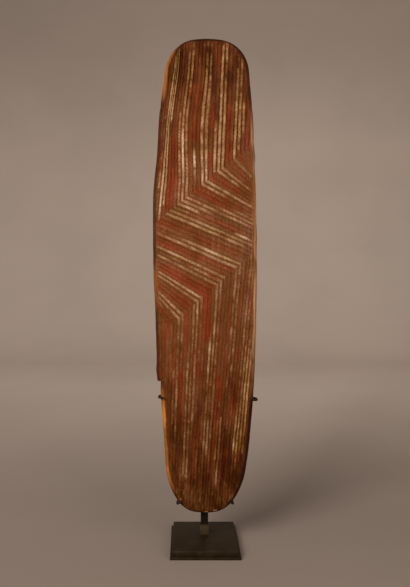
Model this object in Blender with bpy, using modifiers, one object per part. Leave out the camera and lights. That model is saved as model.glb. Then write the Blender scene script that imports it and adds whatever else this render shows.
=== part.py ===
"""A fluted wooden shield held on a two-step metal stand.

The front of the shield faces -Y and its length runs up +Z.  The origin is the
centre of the underside of the stand's base.  All lengths are in metres.
"""

import math

import bmesh
import bpy
import numpy as np
from mathutils import Vector

GAP = 0.0003                # left between pieces that touch

# ---- Shield: heights are measured from its lower tip, x from its centre line
SHIELD_LENGTH = 0.760
SHIELD_LIFT = 0.0564        # lower tip above the ground
LOWER_END = (0.075, 2.9)    # length of the rounded end, fullness of its curve
UPPER_END = (0.050, 2.8)
LEFT_SIDE = (               # (height, distance of the edge from the centre line)
    (0.00, 0.0565), (0.10, 0.0655), (0.17, 0.0702), (0.222, 0.0774), (0.27, 0.0785),
    (0.31, 0.0798), (0.43, 0.0835), (0.54, 0.0814), (0.585, 0.0765), (0.64, 0.0732),
    (0.70, 0.0655), (0.76, 0.0580),
)
RIGHT_SIDE = (
    (0.00, 0.0570), (0.10, 0.0705), (0.20, 0.0787), (0.31, 0.0823), (0.43, 0.0828),
    (0.54, 0.0795), (0.64, 0.0752), (0.70, 0.0694), (0.76, 0.0655),
)
CHIP_TOP = 0.2175           # a flake lost from the left edge, sharp at its upper end
CHIP_LENGTH = 0.050
CHIP_DEPTH = 0.0055
EDGE_THICKNESS = 0.0085
EDGE_ROUND = 0.0042         # width of the rounded edge, seen from the front
FRONT_CROWN = 0.0075        # rise of the front and back above the edges, half way up
BACK_CROWN = 0.0080
END_CROWN_SHARE = 0.62      # share of that rise left at the two ends
TIP_ROUND = 0.0075          # length over which each tip thins to its rounded edge
FRONT_PLACES = (-1.0, -0.72, -0.36, 0.0, 0.36, 0.72, 1.0)   # corners of a section
BACK_PLACES = (-1.0, -0.6, -0.2, 0.2, 0.6, 1.0)
SECTION_SPACING = 0.032
END_SECTIONS = 9

# ---- Flutes: they turn at two slanting mitre lines that climb to the right
MITRE_HEIGHTS = (0.537, 0.358)      # upper and lower mitre, on the centre line
MITRE_SLOPES = (0.80, 0.885)
FIRST_TURN = 0.0735         # x where flute 0 meets the lower mitre
FLUTE_PITCH = (0.0063, 0.0061)      # x from flute to flute along each mitre
FLUTE_DEPTH = 0.0013
FLUTE_FADE = 0.0045         # the flutes run out this close to the rounded edge
FLUTES_ABOVE = 28           # counted each way from flute 0
FLUTES_BELOW = 30
SLANT_LEAST = 0.40          # fall of the slanting flutes for each unit across
SLANT_SPREAD = (0.152, 0.176)   # extra fall at the centre of the upper, lower mitre
SLANT_REACH = 0.032         # distance along x over which that extra grows by e
LEAN_LEAST = (0.040, 0.021) # lean of the long flutes above and below the mitres
LEAN_SPREAD = (0.070, 0.068)    # extra lean at the side where they are longest
LEAN_GROWTH = (6.0, 1.0)    # 1 where that extra grows evenly across, more where late
SCORE_SNAP = 0.0004

# ---- Hand grip, carved from the back
GRIP_HEIGHT = 0.380         # its centre, from the lower tip
GRIP_LENGTH = 0.150
GRIP_WIDTH = 0.034
GRIP_SWELL = 0.25           # extra share of that width half way along
GRIP_PROUD = 0.036
GRIP_ROOT = 0.003           # how deep the lug is set into the board
FINGER_GAP_LENGTH = 0.096
FINGER_GAP_DEPTH = 0.022
FINGER_GAP_RECESS = 0.0006  # how far it is hollowed into the board
FINGER_GAP_CORNER = 0.0105
FINGER_GAP_WIDTH = 0.120

# ---- Stand
PLATE_SIDE = 0.112
PLATE_THICKNESS = 0.0040
BLOCK_SIDE = 0.105
BLOCK_THICKNESS = 0.0085
BLOCK_CHAMFER = 0.0012
POST_SIDE = 0.0120
POST_FRONT_Y = 0.0030
POST_TOP = 0.262
SOCKET_SIDE = 0.0140
SOCKET_HEIGHT = 0.0150
ROD_RADIUS = 0.0017
ROD_BEND = 0.0040           # radius of the rods' bends, at their centre line
ROD_BEHIND = (0.0070, 0.0062)   # where upper and lower turn forward, behind the middle
ROD_ON_POST = 0.022         # half the straight run across the back of the post
UPPER_ROD_HEIGHT = 0.2462
UPPER_ROD_TILT = -0.026     # it was bent a little askew: rise per metre to the right
UPPER_ROD_SPARE = (0.0012, 0.0038)  # play outside the left and right edge
UPPER_ROD_TIP = (0.0045, 0.0022)    # how far each tip laps over the front
LOWER_ROD_HEIGHT = 0.0700
LOWER_REST_HEIGHT = 0.0180  # on the shield, where the lower hooks carry it
LOWER_ROD_TIP = 0.0052

MATERIALS = {               # colour, roughness, metallic
    "ochred_wood": ((0.16, 0.055, 0.025), 0.62, 0.0),
    "black_base": ((0.012, 0.010, 0.009), 0.28, 0.0),
    "black_rod": ((0.020, 0.017, 0.015), 0.45, 0.6),
}


# ---------------------------------------------------------------- small tools
def material(name):
    """Principled material with the named colour, roughness and metallic value."""
    colour, roughness, metallic = MATERIALS[name]
    made = bpy.data.materials.get(name) or bpy.data.materials.new(name)
    made.use_nodes = True
    shader = made.node_tree.nodes["Principled BSDF"]
    shader.inputs["Base Color"].default_value = (*colour, 1.0)
    shader.inputs["Roughness"].default_value = roughness
    shader.inputs["Metallic"].default_value = metallic
    return made


def new_collection(name):
    """Collection of that name, linked to the scene."""
    made = bpy.data.collections.new(name)
    bpy.context.scene.collection.children.link(made)
    return made


def add_mesh_object(name, bm, collection, material_name, location=(0, 0, 0)):
    """Turn a bmesh into a named object at a place."""
    mesh = bpy.data.meshes.new(name)
    bm.to_mesh(mesh)
    bm.free()
    mesh.materials.append(material(material_name))
    made = bpy.data.objects.new(name, mesh)
    made.location = location
    collection.objects.link(made)
    return made


def curve_through(stations, height):
    """Value at a height, on a smooth curve through (height, value) stations."""
    heights, values = np.array(stations).T
    slopes = np.gradient(values, heights)
    i = int(np.clip(np.searchsorted(heights, height) - 1, 0, len(heights) - 2))
    span = heights[i + 1] - heights[i]
    t = (height - heights[i]) / span
    return float(
        (1 + 2 * t) * (1 - t) ** 2 * values[i] + t * (1 - t) ** 2 * span * slopes[i]
        + t * t * (3 - 2 * t) * values[i + 1] + t * t * (t - 1) * span * slopes[i + 1]
    )


# --------------------------------------------------------------- shield's form
def end_rounding(height):
    """Share of the side's width left at a height, 0 at a tip and 1 past its end."""
    share = 1.0
    for (length, fullness), distance in (
        (LOWER_END, height),
        (UPPER_END, SHIELD_LENGTH - height),
    ):
        if distance < length:
            share *= (1 - (1 - distance / length) ** 2) ** (1 / fullness)
    return share


def whole_edges(height):
    """x of the left and right edge at a height, as if nothing were chipped off."""
    rounding = end_rounding(height)
    return (
        -curve_through(LEFT_SIDE, height) * rounding,
        curve_through(RIGHT_SIDE, height) * rounding,
    )


def edges(height):
    """x of the shield's left and right edge at a height."""
    left, right = whole_edges(height)
    below = CHIP_TOP - height
    if 0 <= below < CHIP_LENGTH:
        left += CHIP_DEPTH * (1 - below / CHIP_LENGTH) ** 1.5
    return left, right


def half_thickness(height, crown, across):
    """Half thickness at a height, at a place across from -1 (left) to 1 (right)."""
    along = abs(2 * height / SHIELD_LENGTH - 1)
    rise = crown * (1 - (1 - END_CROWN_SHARE) * along ** 2)
    tip = min(height, SHIELD_LENGTH - height) / TIP_ROUND
    thinning = math.sqrt(1 - (1 - min(tip, 1.0)) ** 2)
    return thinning * (EDGE_THICKNESS / 2 + rise * (1 - across * across))


def section(height):
    """Closed loop of points round the board at a height, front first.

    Places run from -1 to 1 between the inner limits of the rounded edges.
    """
    left, right = whole_edges(height)
    middle, half_width = (left + right) / 2, (right - left) / 2
    edge_round = min(EDGE_ROUND, 0.45 * half_width)
    face = half_width - edge_round
    chipped = edges(height)[0] - left

    def surface(place, crown, facing):
        x = max(middle + place * face, left + chipped + edge_round)
        depth = half_thickness(height, crown, (x - middle) / face)
        return Vector((x, facing * depth, height))

    def rim(side, turn):
        crown, facing = (FRONT_CROWN, -1) if turn < 90 else (BACK_CROWN, 1)
        point = surface(side, crown, facing)
        point.x += side * edge_round * math.sin(math.radians(turn))
        point.y *= abs(math.cos(math.radians(turn)))
        return point

    loop = [surface(place, FRONT_CROWN, -1) for place in FRONT_PLACES]
    loop += [rim(1, turn) for turn in (45, 90, 135)]
    loop += [surface(-place, BACK_CROWN, 1) for place in BACK_PLACES]
    loop += [rim(-1, turn) for turn in (135, 90, 45)]
    return loop


def section_heights():
    """Heights of the sections: even along the sides, on the curve at the ends."""
    turns = [math.radians(90 * (i + 0.35) / END_SECTIONS) for i in range(END_SECTIONS)]
    low = [LOWER_END[0] * (1 - math.cos(turn)) for turn in turns]
    high = [SHIELD_LENGTH - UPPER_END[0] * (1 - math.cos(turn)) for turn in turns]
    sides = np.arange(LOWER_END[0] + 0.012, SHIELD_LENGTH - UPPER_END[0], SECTION_SPACING)
    chip = [CHIP_TOP - 0.0005, CHIP_TOP + 0.0035]
    sides = [h for h in sides if min(abs(h - c) for c in chip) > SECTION_SPACING / 4]
    return sorted(low + high + sides + chip)


def loft(bm, loops):
    """Skin equal loops with rows of quads, close both ends, return the rows."""
    rings = [[bm.verts.new(point) for point in loop] for loop in loops]
    rows = []
    for lower, upper in zip(rings, rings[1:]):
        sides = zip(lower, lower[1:] + lower[:1], upper[1:] + upper[:1], upper)
        rows.append([bm.faces.new(side) for side in sides])
    bm.faces.new(reversed(rings[0]))
    bm.faces.new(rings[-1])
    return rows


# --------------------------------------------------------------- flute pattern
def mitre_height(mitre, x):
    """Height of a mitre line at x, 0 the upper or 1 the lower."""
    return MITRE_HEIGHTS[mitre] + MITRE_SLOPES[mitre] * x


def slant_through_upper_mitre(x):
    """(height on the centre line, fall) of the slanting flute that starts at x."""
    fall = SLANT_LEAST + SLANT_SPREAD[0] * math.exp(x / SLANT_REACH)
    return MITRE_HEIGHTS[0] + (MITRE_SLOPES[0] + fall) * x, fall


def slant_through_lower_mitre(x):
    """(height on the centre line, fall) of the slanting flute that ends at x."""
    fall = SLANT_LEAST + SLANT_SPREAD[1] * math.exp(-x / SLANT_REACH)
    return MITRE_HEIGHTS[1] + (MITRE_SLOPES[1] + fall) * x, fall


class FlutePattern:
    """Lines of the flutes.  Whole numbers are hollows, halves are the ridges.

    Flutes are stepped off evenly along the mitres: upward from flute 0 along the
    upper mitre, and downward from it along the lower mitre.
    """

    def __init__(self):
        height, fall = slant_through_lower_mitre(FIRST_TURN)
        start = (height - MITRE_HEIGHTS[0]) / (fall + MITRE_SLOPES[0])
        self.numbers = np.arange(-FLUTES_BELOW, FLUTES_ABOVE + 0.25, 0.5)
        slants = [
            slant_through_upper_mitre(start + n * FLUTE_PITCH[0]) if n >= 0
            else slant_through_lower_mitre(FIRST_TURN + n * FLUTE_PITCH[1])
            for n in self.numbers
        ]
        self.centre_heights, self.falls = np.array(slants).T

    def corner_x(self, mitre):
        """x where each slanting flute meets a mitre, 0 the upper or 1 the lower."""
        reach = self.centre_heights - MITRE_HEIGHTS[mitre]
        return reach / (self.falls + MITRE_SLOPES[mitre])

    def leans(self, mitre):
        """Lean (x gained for each unit up) of each long flute past a mitre."""
        facing = -1 if mitre == 0 else 1
        towards = (1 + facing * self.corner_x(mitre) / FIRST_TURN) / 2
        growth = np.clip(towards, 0, 1) ** LEAN_GROWTH[mitre]
        return LEAN_LEAST[mitre] + LEAN_SPREAD[mitre] * growth

    def long_lines(self, mitre):
        """(point, direction) of each long flute above or below a mitre."""
        return [
            (Vector((x, 0, mitre_height(mitre, x))), Vector((lean, 0, 1)))
            for x, lean in zip(self.corner_x(mitre), self.leans(mitre))
        ]

    def slant_lines(self):
        """(point, direction) of each slanting flute between the mitres."""
        return [
            (Vector((0, 0, height)), Vector((1, 0, -fall)))
            for height, fall in zip(self.centre_heights, self.falls)
        ]

    def number_at(self, zone, x, height):
        """Flute number at a place on the front, in one of the three zones."""
        if zone == 2:
            heights = self.centre_heights - self.falls * x
            return float(np.interp(height, heights, self.numbers))
        mitre = 0 if zone == 1 else 1
        corners = self.corner_x(mitre)
        places = corners + self.leans(mitre) * (height - mitre_height(mitre, corners))
        return float(np.interp(x, places, self.numbers))


def zone_at(x, height):
    """1 above the upper mitre, 2 between the mitres, 3 below the lower one."""
    if height > mitre_height(0, x):
        return 1
    return 2 if height > mitre_height(1, x) else 3


def score(bm, faces, point, direction):
    """Cut an edge line across some faces, straight back through the board."""
    edges_of = {edge for face in faces for edge in face.edges}
    verts_of = {vert for face in faces for vert in face.verts}
    bmesh.ops.bisect_plane(
        bm,
        geom=[*verts_of, *edges_of, *faces],
        dist=SCORE_SNAP,
        plane_co=point,
        plane_no=direction.cross(Vector((0, 1, 0))),
    )


def carve_flutes(bm, zone_of, pattern):
    """Score ridges and hollows on the faces of zone 1, and press the hollows in."""
    def faces_in(*zones):
        return [face for face in bm.faces if face[zone_of] in zones]

    for height, slope in zip(MITRE_HEIGHTS, MITRE_SLOPES):
        score(bm, faces_in(1), Vector((0, 0, height)), Vector((1, 0, slope)))
    for face in faces_in(1):
        centre = face.calc_center_median()
        face[zone_of] = zone_at(centre.x, centre.z)

    lines_of = (pattern.long_lines(0), pattern.slant_lines(), pattern.long_lines(1))
    for zone, lines in enumerate(lines_of, start=1):
        for point, direction in lines:
            faces = faces_in(zone)
            normal = direction.cross(Vector((0, 1, 0)))
            sides = [(vert.co - point).dot(normal) for face in faces for vert in face.verts]
            if min(sides) < -SCORE_SNAP and max(sides) > SCORE_SNAP:
                score(bm, faces, point, direction)

    numbers = {}
    for face in faces_in(1, 2, 3):
        for vert in face.verts:
            numbers[vert] = pattern.number_at(face[zone_of], vert.co.x, vert.co.z)
    for vert, number in numbers.items():
        hollow = abs(2 * (number % 1.0) - 1)
        vert.co.y += FLUTE_DEPTH * hollow * flute_strength(vert.co)


def flute_strength(point):
    """1 over the face, falling to 0 where the rounded edge begins."""
    left, right = edges(point.z)
    to_side = min(point.x - left, right - point.x) - EDGE_ROUND
    to_tip = min(point.z, SHIELD_LENGTH - point.z) - TIP_ROUND
    return min(1.0, max(0.0, min(to_side, to_tip) / FLUTE_FADE))


# ---------------------------------------------------------------------- shield
def shield_board(pattern):
    """Board with its fluted front, as a bmesh with the lower tip at height 0."""
    bm = bmesh.new()
    zone_of = bm.faces.layers.int.new("zone")   # 0 off the front, 1 to 3 down it
    for row in loft(bm, [section(height) for height in section_heights()]):
        for face in row[:len(FRONT_PLACES) - 1]:
            face[zone_of] = 1
    bm.normal_update()
    carve_flutes(bm, zone_of, pattern)
    return bm


def grip_lug(cutters):
    """Long rounded lug standing on the back, still without its finger gap."""
    bm = bmesh.new()
    bmesh.ops.create_uvsphere(bm, u_segments=20, v_segments=16, radius=0.5)
    back = half_thickness(GRIP_HEIGHT, BACK_CROWN, 0.0)
    for vert in bm.verts:
        vert.co.x *= GRIP_WIDTH * (1 + GRIP_SWELL * (1 - 4 * vert.co.z ** 2))
        vert.co.y = max(vert.co.y * 2 * GRIP_PROUD, -GRIP_ROOT)
        vert.co.z *= GRIP_LENGTH
    return add_cutter("grip_lug", bm, cutters, (0, back, GRIP_HEIGHT))


def finger_gap(cutters):
    """Rounded slot that runs sideways under the grip."""
    bm = bmesh.new()
    bmesh.ops.create_cube(bm, size=1.0)
    size = Vector((FINGER_GAP_WIDTH, FINGER_GAP_DEPTH, FINGER_GAP_LENGTH))
    bmesh.ops.scale(bm, vec=size, verts=bm.verts)
    across = [e for e in bm.edges if abs(e.verts[0].co.x - e.verts[1].co.x) > 0.01]
    bmesh.ops.bevel(bm, geom=across, offset=FINGER_GAP_CORNER, segments=4, profile=0.5,
                    affect="EDGES")
    back = half_thickness(GRIP_HEIGHT, BACK_CROWN, 0.0)
    depth = back - FINGER_GAP_RECESS + FINGER_GAP_DEPTH / 2
    return add_cutter("finger_gap", bm, cutters, (0, depth, GRIP_HEIGHT))


def add_cutter(name, bm, cutters, place_on_shield):
    """Helper object for a Boolean, placed in the shield's own coordinates."""
    made = add_mesh_object(name, bm, cutters, "ochred_wood",
                           Vector(place_on_shield) + shield_place())
    made.hide_render = True
    made.display_type = "WIRE"
    return made


def shield_place():
    """World place of the shield's lower tip, in the board's middle plane."""
    touching = half_thickness(POST_TOP - SHIELD_LIFT, BACK_CROWN, 0.0)
    return Vector((0, POST_FRONT_Y - GAP - touching, SHIELD_LIFT))


def build_shield(parts, cutters):
    """One piece of wood: fluted board, grip and the finger gap under it."""
    bm = shield_board(FlutePattern())
    shield = add_mesh_object("shield", bm, parts, "ochred_wood", shield_place())
    for operation, helper in (("UNION", grip_lug(cutters)), ("DIFFERENCE", finger_gap(cutters))):
        boolean = shield.modifiers.new(helper.name, "BOOLEAN")
        boolean.operation = operation
        boolean.object = helper
        boolean.solver = "EXACT"


# ----------------------------------------------------------------------- stand
def build_slab(name, parts, side, bottom, thickness, chamfer=0.0):
    """Square slab of the base, with a chamfer along its upper edges if given."""
    bm = bmesh.new()
    bmesh.ops.create_cube(bm, size=1.0)
    bmesh.ops.scale(bm, vec=(side, side, thickness), verts=bm.verts)
    if chamfer:
        top = [e for e in bm.edges if all(v.co.z > 0 for v in e.verts)]
        bmesh.ops.bevel(bm, geom=top, offset=chamfer, segments=1, affect="EDGES")
    add_mesh_object(name, bm, parts, "black_base", (0, 0, bottom + thickness / 2))


def build_post(parts, base_top):
    """Square post, and the thin-walled square socket that it plugs into."""
    centre_y = POST_FRONT_Y + POST_SIDE / 2
    foot = base_top + GAP
    bm = bmesh.new()
    bmesh.ops.create_cube(bm, size=1.0)
    bmesh.ops.scale(bm, vec=(POST_SIDE, POST_SIDE, POST_TOP - foot), verts=bm.verts)
    add_mesh_object("stand_post", bm, parts, "black_rod", (0, centre_y, (foot + POST_TOP) / 2))

    bm = bmesh.new()
    half = POST_SIDE / 2 + GAP
    corners = [bm.verts.new((x * half, y * half, 0)) for x, y in ((-1, -1), (1, -1), (1, 1), (-1, 1))]
    for corner, after in zip(corners, corners[1:] + corners[:1]):
        bm.edges.new((corner, after))
    walls = bmesh.ops.extrude_edge_only(bm, edges=bm.edges[:])["geom"]
    upper = [v for v in walls if isinstance(v, bmesh.types.BMVert)]
    bmesh.ops.translate(bm, vec=(0, 0, SOCKET_HEIGHT), verts=upper)
    bmesh.ops.recalc_face_normals(bm, faces=bm.faces)
    socket = add_mesh_object("stand_post_socket", bm, parts, "black_rod", (0, centre_y, foot))
    shell = socket.modifiers.new("wall", "SOLIDIFY")
    shell.thickness = (SOCKET_SIDE - POST_SIDE) / 2 - GAP
    shell.offset = 1.0
    shell.use_even_offset = True


def rounded_route(corners, bend):
    """Points along straight runs whose corners are turned as arcs."""
    route = [corners[0]]
    for before, corner, after in zip(corners, corners[1:], corners[2:]):
        back, ahead = (before - corner).normalized(), (after - corner).normalized()
        half_angle = back.angle(ahead) / 2
        setback = bend / math.tan(half_angle)
        centre = corner + (back + ahead).normalized() * (bend / math.sin(half_angle))
        start = corner + back * setback - centre
        end = corner + ahead * setback - centre
        steps = max(2, math.ceil(math.degrees(start.angle(end)) / 18))
        turn = start.angle(end)
        for i in range(steps + 1):
            t = i / steps
            mix = math.sin((1 - t) * turn) * start + math.sin(t * turn) * end
            route.append(centre + mix / math.sin(turn))
    route.append(corners[-1])
    return route


def build_rod(name, parts, corners):
    """Round rod bent at the given corners, with flat ends."""
    curve = bpy.data.curves.new(name, "CURVE")
    curve.dimensions = "3D"
    curve.bevel_depth = ROD_RADIUS
    curve.bevel_resolution = 2
    curve.use_fill_caps = True
    points = rounded_route([Vector(corner) for corner in corners], ROD_BEND)
    spline = curve.splines.new("POLY")
    spline.points.add(len(points) - 1)
    for point, place in zip(spline.points, points):
        point.co = (*place, 1.0)
    curve.materials.append(material("black_rod"))
    parts.objects.link(bpy.data.objects.new(name, curve))


def front_y(height, x):
    """World y of the shield's front at a height above its lower tip."""
    left, right = edges(height)
    across = (2 * x - left - right) / (right - left)
    return shield_place().y - half_thickness(height, FRONT_CROWN, max(-1, min(1, across)))


def build_upper_prongs(parts):
    """Rod across the back of the post, hooked round both edges of the shield."""
    height = UPPER_ROD_HEIGHT - SHIELD_LIFT
    left, right = edges(height)
    behind = POST_FRONT_Y + POST_SIDE + GAP + ROD_RADIUS
    beside = shield_place().y + ROD_BEHIND[0]
    route = []
    for edge, side, spare, lap in zip((left, right), (-1, 1), UPPER_ROD_SPARE, UPPER_ROD_TIP):
        out = edge + side * (ROD_RADIUS + GAP + spare)
        tip = edge - side * lap
        front = front_y(height, tip) - ROD_RADIUS - 2 * GAP
        hook = [(tip, front), (out, front), (out, beside), (side * ROD_ON_POST, behind)]
        route += hook if side < 0 else hook[::-1]
    tilted = [(x, y, UPPER_ROD_HEIGHT + UPPER_ROD_TILT * x) for x, y in route]
    build_rod("stand_upper_prongs", parts, tilted)


def build_lower_prongs(parts):
    """Rod across the post, hooked under the rounded lower end to carry it."""
    behind = POST_FRONT_Y + POST_SIDE + GAP + ROD_RADIUS
    beside = shield_place().y + ROD_BEHIND[1]
    route = []
    for side in (-1, 1):
        rest, above = (edges(LOWER_REST_HEIGHT + rise)[0 if side < 0 else 1] for rise in (0, 0.002))
        along = Vector((above - rest, 0.002)).normalized()
        outward = Vector((side * along.y, -side * along.x))
        edge = Vector((rest, SHIELD_LIFT + LOWER_REST_HEIGHT))
        under = edge + outward * (ROD_RADIUS + 2 * GAP)
        tip = edge - outward * LOWER_ROD_TIP
        front = front_y(tip.y - SHIELD_LIFT, tip.x) - ROD_RADIUS - 2 * GAP
        hook = [
            (tip.x, front, tip.y),
            (under.x, front, under.y),
            (under.x, beside, under.y),
            (side * ROD_ON_POST, behind, LOWER_ROD_HEIGHT),
        ]
        route += hook if side < 0 else hook[::-1]
    build_rod("stand_lower_prongs", parts, route)


def main():
    for leftover in list(bpy.data.objects):
        bpy.data.objects.remove(leftover, do_unlink=True)
    parts = new_collection("aboriginal_shield")
    cutters = new_collection("cutters")
    build_shield(parts, cutters)
    block_bottom = PLATE_THICKNESS + GAP
    build_slab("stand_base_plate", parts, PLATE_SIDE, 0.0, PLATE_THICKNESS)
    build_slab("stand_base_block", parts, BLOCK_SIDE, block_bottom, BLOCK_THICKNESS, BLOCK_CHAMFER)
    build_post(parts, block_bottom + BLOCK_THICKNESS)
    build_upper_prongs(parts)
    build_lower_prongs(parts)


main()
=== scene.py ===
# %% [markdown]
# # A fluted wooden shield on its stand
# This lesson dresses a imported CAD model.  The model is loaded first, as a fixed
# frame: it says where every piece is, and the new pieces take its places.
# The real object is a long parrying shield cut from one piece of wood.  Its front
# is fluted by hand in a zigzag, and rubbed with red ochre and white pipeclay.
# It hangs on a square steel post by four hooks bent from two thin rods.

import math
from bisect import bisect_left

import bmesh
import bpy
import numpy as np
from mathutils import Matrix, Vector, noise


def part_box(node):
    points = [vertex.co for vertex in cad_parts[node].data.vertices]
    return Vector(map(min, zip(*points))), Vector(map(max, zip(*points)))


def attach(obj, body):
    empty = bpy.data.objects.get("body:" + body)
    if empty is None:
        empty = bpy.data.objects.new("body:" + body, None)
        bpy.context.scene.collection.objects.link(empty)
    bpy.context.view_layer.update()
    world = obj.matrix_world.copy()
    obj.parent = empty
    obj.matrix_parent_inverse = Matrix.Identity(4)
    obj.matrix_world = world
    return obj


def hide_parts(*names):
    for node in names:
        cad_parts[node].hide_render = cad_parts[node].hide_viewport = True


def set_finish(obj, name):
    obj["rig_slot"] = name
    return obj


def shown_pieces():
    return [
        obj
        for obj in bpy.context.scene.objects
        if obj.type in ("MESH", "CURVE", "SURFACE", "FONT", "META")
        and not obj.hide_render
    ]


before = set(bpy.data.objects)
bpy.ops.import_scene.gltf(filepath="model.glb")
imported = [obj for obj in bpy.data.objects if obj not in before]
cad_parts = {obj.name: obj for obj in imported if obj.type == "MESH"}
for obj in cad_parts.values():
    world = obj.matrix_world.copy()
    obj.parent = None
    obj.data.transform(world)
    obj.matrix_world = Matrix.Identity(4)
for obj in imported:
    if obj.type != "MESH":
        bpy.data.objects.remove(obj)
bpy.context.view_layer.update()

# %% [markdown]
# ## Starting a piece
# Every piece starts as a primitive at its real size and place, and is then shaped
# in edit mode.  Blender's operators act on all that is selected, so everything is
# deselected before a primitive is added, and its scale is applied at once.

# %% Helpers for starting and editing a piece
def start_editing():
    """Open the active piece in edit mode."""
    bpy.ops.object.mode_set(mode="EDIT")


def stop_editing():
    """Go back to object mode."""
    bpy.ops.object.mode_set(mode="OBJECT")


def start_piece(name, add_primitive, **settings):
    """Add a primitive with nothing else selected, and apply its place and size."""
    bpy.ops.object.select_all(action="DESELECT")
    add_primitive(**settings)
    piece = bpy.context.object
    piece.name = piece.data.name = name
    bpy.ops.object.transform_apply(location=True, rotation=True, scale=True)
    return piece


def start_cube(name, location, scale):
    """Start a piece as a cube of a given place and size, open in edit mode."""
    add = bpy.ops.mesh.primitive_cube_add
    piece = start_piece(name, add, size=1.0, location=location, scale=scale)
    start_editing()
    return piece


def pick(piece, kind, wanted):
    """In edit mode, select the faces or edges that pass a test, and nothing else."""
    bpy.ops.mesh.select_mode(type="FACE" if kind == "faces" else "EDGE")
    bpy.ops.mesh.select_all(action="DESELECT")
    bm = bmesh.from_edit_mesh(piece.data)
    for element in getattr(bm, kind):
        if not element.hide and wanted(element):
            element.select_set(True)
    bm.select_flush_mode()
    bmesh.update_edit_mesh(piece.data)


def middle_of(edge):
    """Midpoint of an edge."""
    return (edge.verts[0].co + edge.verts[1].co) / 2


def is_sharp(edge, degrees=57):
    """True for an edge whose two faces turn by more than an angle."""
    return edge.is_manifold and edge.calc_face_angle() > math.radians(degrees)


def bevel(piece, wanted, offset, segments):
    """Bevel the edges that pass a test."""
    pick(piece, "edges", wanted)
    bpy.ops.mesh.bevel(offset=offset, segments=segments)


def report(piece):
    """Print a piece's size and how many triangles it has."""
    bpy.context.view_layer.update()
    piece.data.calc_loop_triangles()
    size = ", ".join(f"{1000 * side:.1f}" for side in piece.dimensions)
    print(f"{piece.name}: {size} mm, {len(piece.data.loop_triangles)} triangles")


# %% [markdown]
# ## The outline of the board
# The shield was adzed and scraped to a long leaf: widest a little above half way,
# with rounded ends.  Its outline is given by how far each edge lies from the
# centre line at a few heights, with a smooth curve between them.  A flake has been
# lost from the left edge.  Both faces are crowned, so the board is thickest in the
# middle.  These are the same named sizes as in the solid, so the two agree.

# %% Sizes of the board
LENGTH = 0.760
LOWER_END = (0.075, 2.9)    # length of the rounded end, fullness of its curve
UPPER_END = (0.050, 2.8)
LEFT_SIDE = (               # (height above the lower tip, distance of the edge)
    (0.00, 0.0565), (0.10, 0.0655), (0.17, 0.0702), (0.222, 0.0774), (0.27, 0.0785),
    (0.31, 0.0798), (0.43, 0.0835), (0.54, 0.0814), (0.585, 0.0765), (0.64, 0.0732),
    (0.70, 0.0655), (0.76, 0.0580),
)
RIGHT_SIDE = (
    (0.00, 0.0570), (0.10, 0.0705), (0.20, 0.0787), (0.31, 0.0823), (0.43, 0.0828),
    (0.54, 0.0795), (0.64, 0.0752), (0.70, 0.0694), (0.76, 0.0655),
)
CHIP_TOP, CHIP_LENGTH, CHIP_DEPTH, CHIP_HOLLOW = 0.2175, 0.050, 0.0055, 1.5
EDGE_THICKNESS, EDGE_ROUND = 0.0085, 0.0042
FRONT_CROWN, BACK_CROWN, END_CROWN_SHARE = 0.0075, 0.0080, 0.62
TIP_ROUND = 0.0075
MEASURED_AT = (0.10, 0.38, 0.70)

# %% Shape of the board at each height
def smooth_curve(stations):
    """Function of height that runs smoothly through (height, value) stations."""
    heights, values = np.array(stations).T
    slopes = np.gradient(values, heights)
    pieces = list(zip(heights, heights[1:], values, values[1:], slopes, slopes[1:]))

    def value_at(height):
        i = min(max(bisect_left(heights, height) - 1, 0), len(pieces) - 1)
        low, high, start, end, slope, next_slope = pieces[i]
        t = (height - low) / (high - low)
        ends = (1 + 2 * t) * (1 - t) ** 2 * start + t * t * (3 - 2 * t) * end
        bends = t * (1 - t) ** 2 * slope + t * t * (t - 1) * next_slope
        return float(ends + (high - low) * bends)

    return value_at


left_side = smooth_curve(LEFT_SIDE)
right_side = smooth_curve(RIGHT_SIDE)


def end_rounding(height):
    """Share of the side's width left at a height, 0 at a tip and 1 past its end."""
    share = 1.0
    ends = ((LOWER_END, height), (UPPER_END, LENGTH - height))
    for (length, fullness), distance in ends:
        if distance < length:
            share *= (1 - (1 - distance / length) ** 2) ** (1 / fullness)
    return share


def whole_edges(height):
    """x of the left and right edge at a height, as if nothing were chipped off."""
    rounding = end_rounding(height)
    return -left_side(height) * rounding, right_side(height) * rounding


def chipped_off(height):
    """Width lost from the left edge at a height."""
    below = CHIP_TOP - height
    if 0 <= below < CHIP_LENGTH:
        return CHIP_DEPTH * (1 - below / CHIP_LENGTH) ** CHIP_HOLLOW
    return 0.0


def half_thickness(height, crown, across):
    """Half thickness at a height, at a place across from -1 (left) to 1 (right)."""
    along = abs(2 * height / LENGTH - 1)
    rise = crown * (1 - (1 - END_CROWN_SHARE) * along ** 2)
    tip = min(height, LENGTH - height) / TIP_ROUND
    thinning = math.sqrt(1 - (1 - min(tip, 1.0)) ** 2)
    return thinning * (EDGE_THICKNESS / 2 + rise * (1 - across * across))


for height in MEASURED_AT:
    left, right = whole_edges(height)
    print(f"width at {1000 * height:.0f} mm: {1000 * (right - left):.1f} mm")

# %% [markdown]
# ## Sawing the blank
# The board starts as a cube stretched to a blank.  Level cuts divide it into thin
# rows, closer together at the ends, where the outline turns fast.  The back is
# also cut into columns, and more finely where the grip will stand.  The front gets
# no columns, because its flutes will be scored there one by one.

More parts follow.
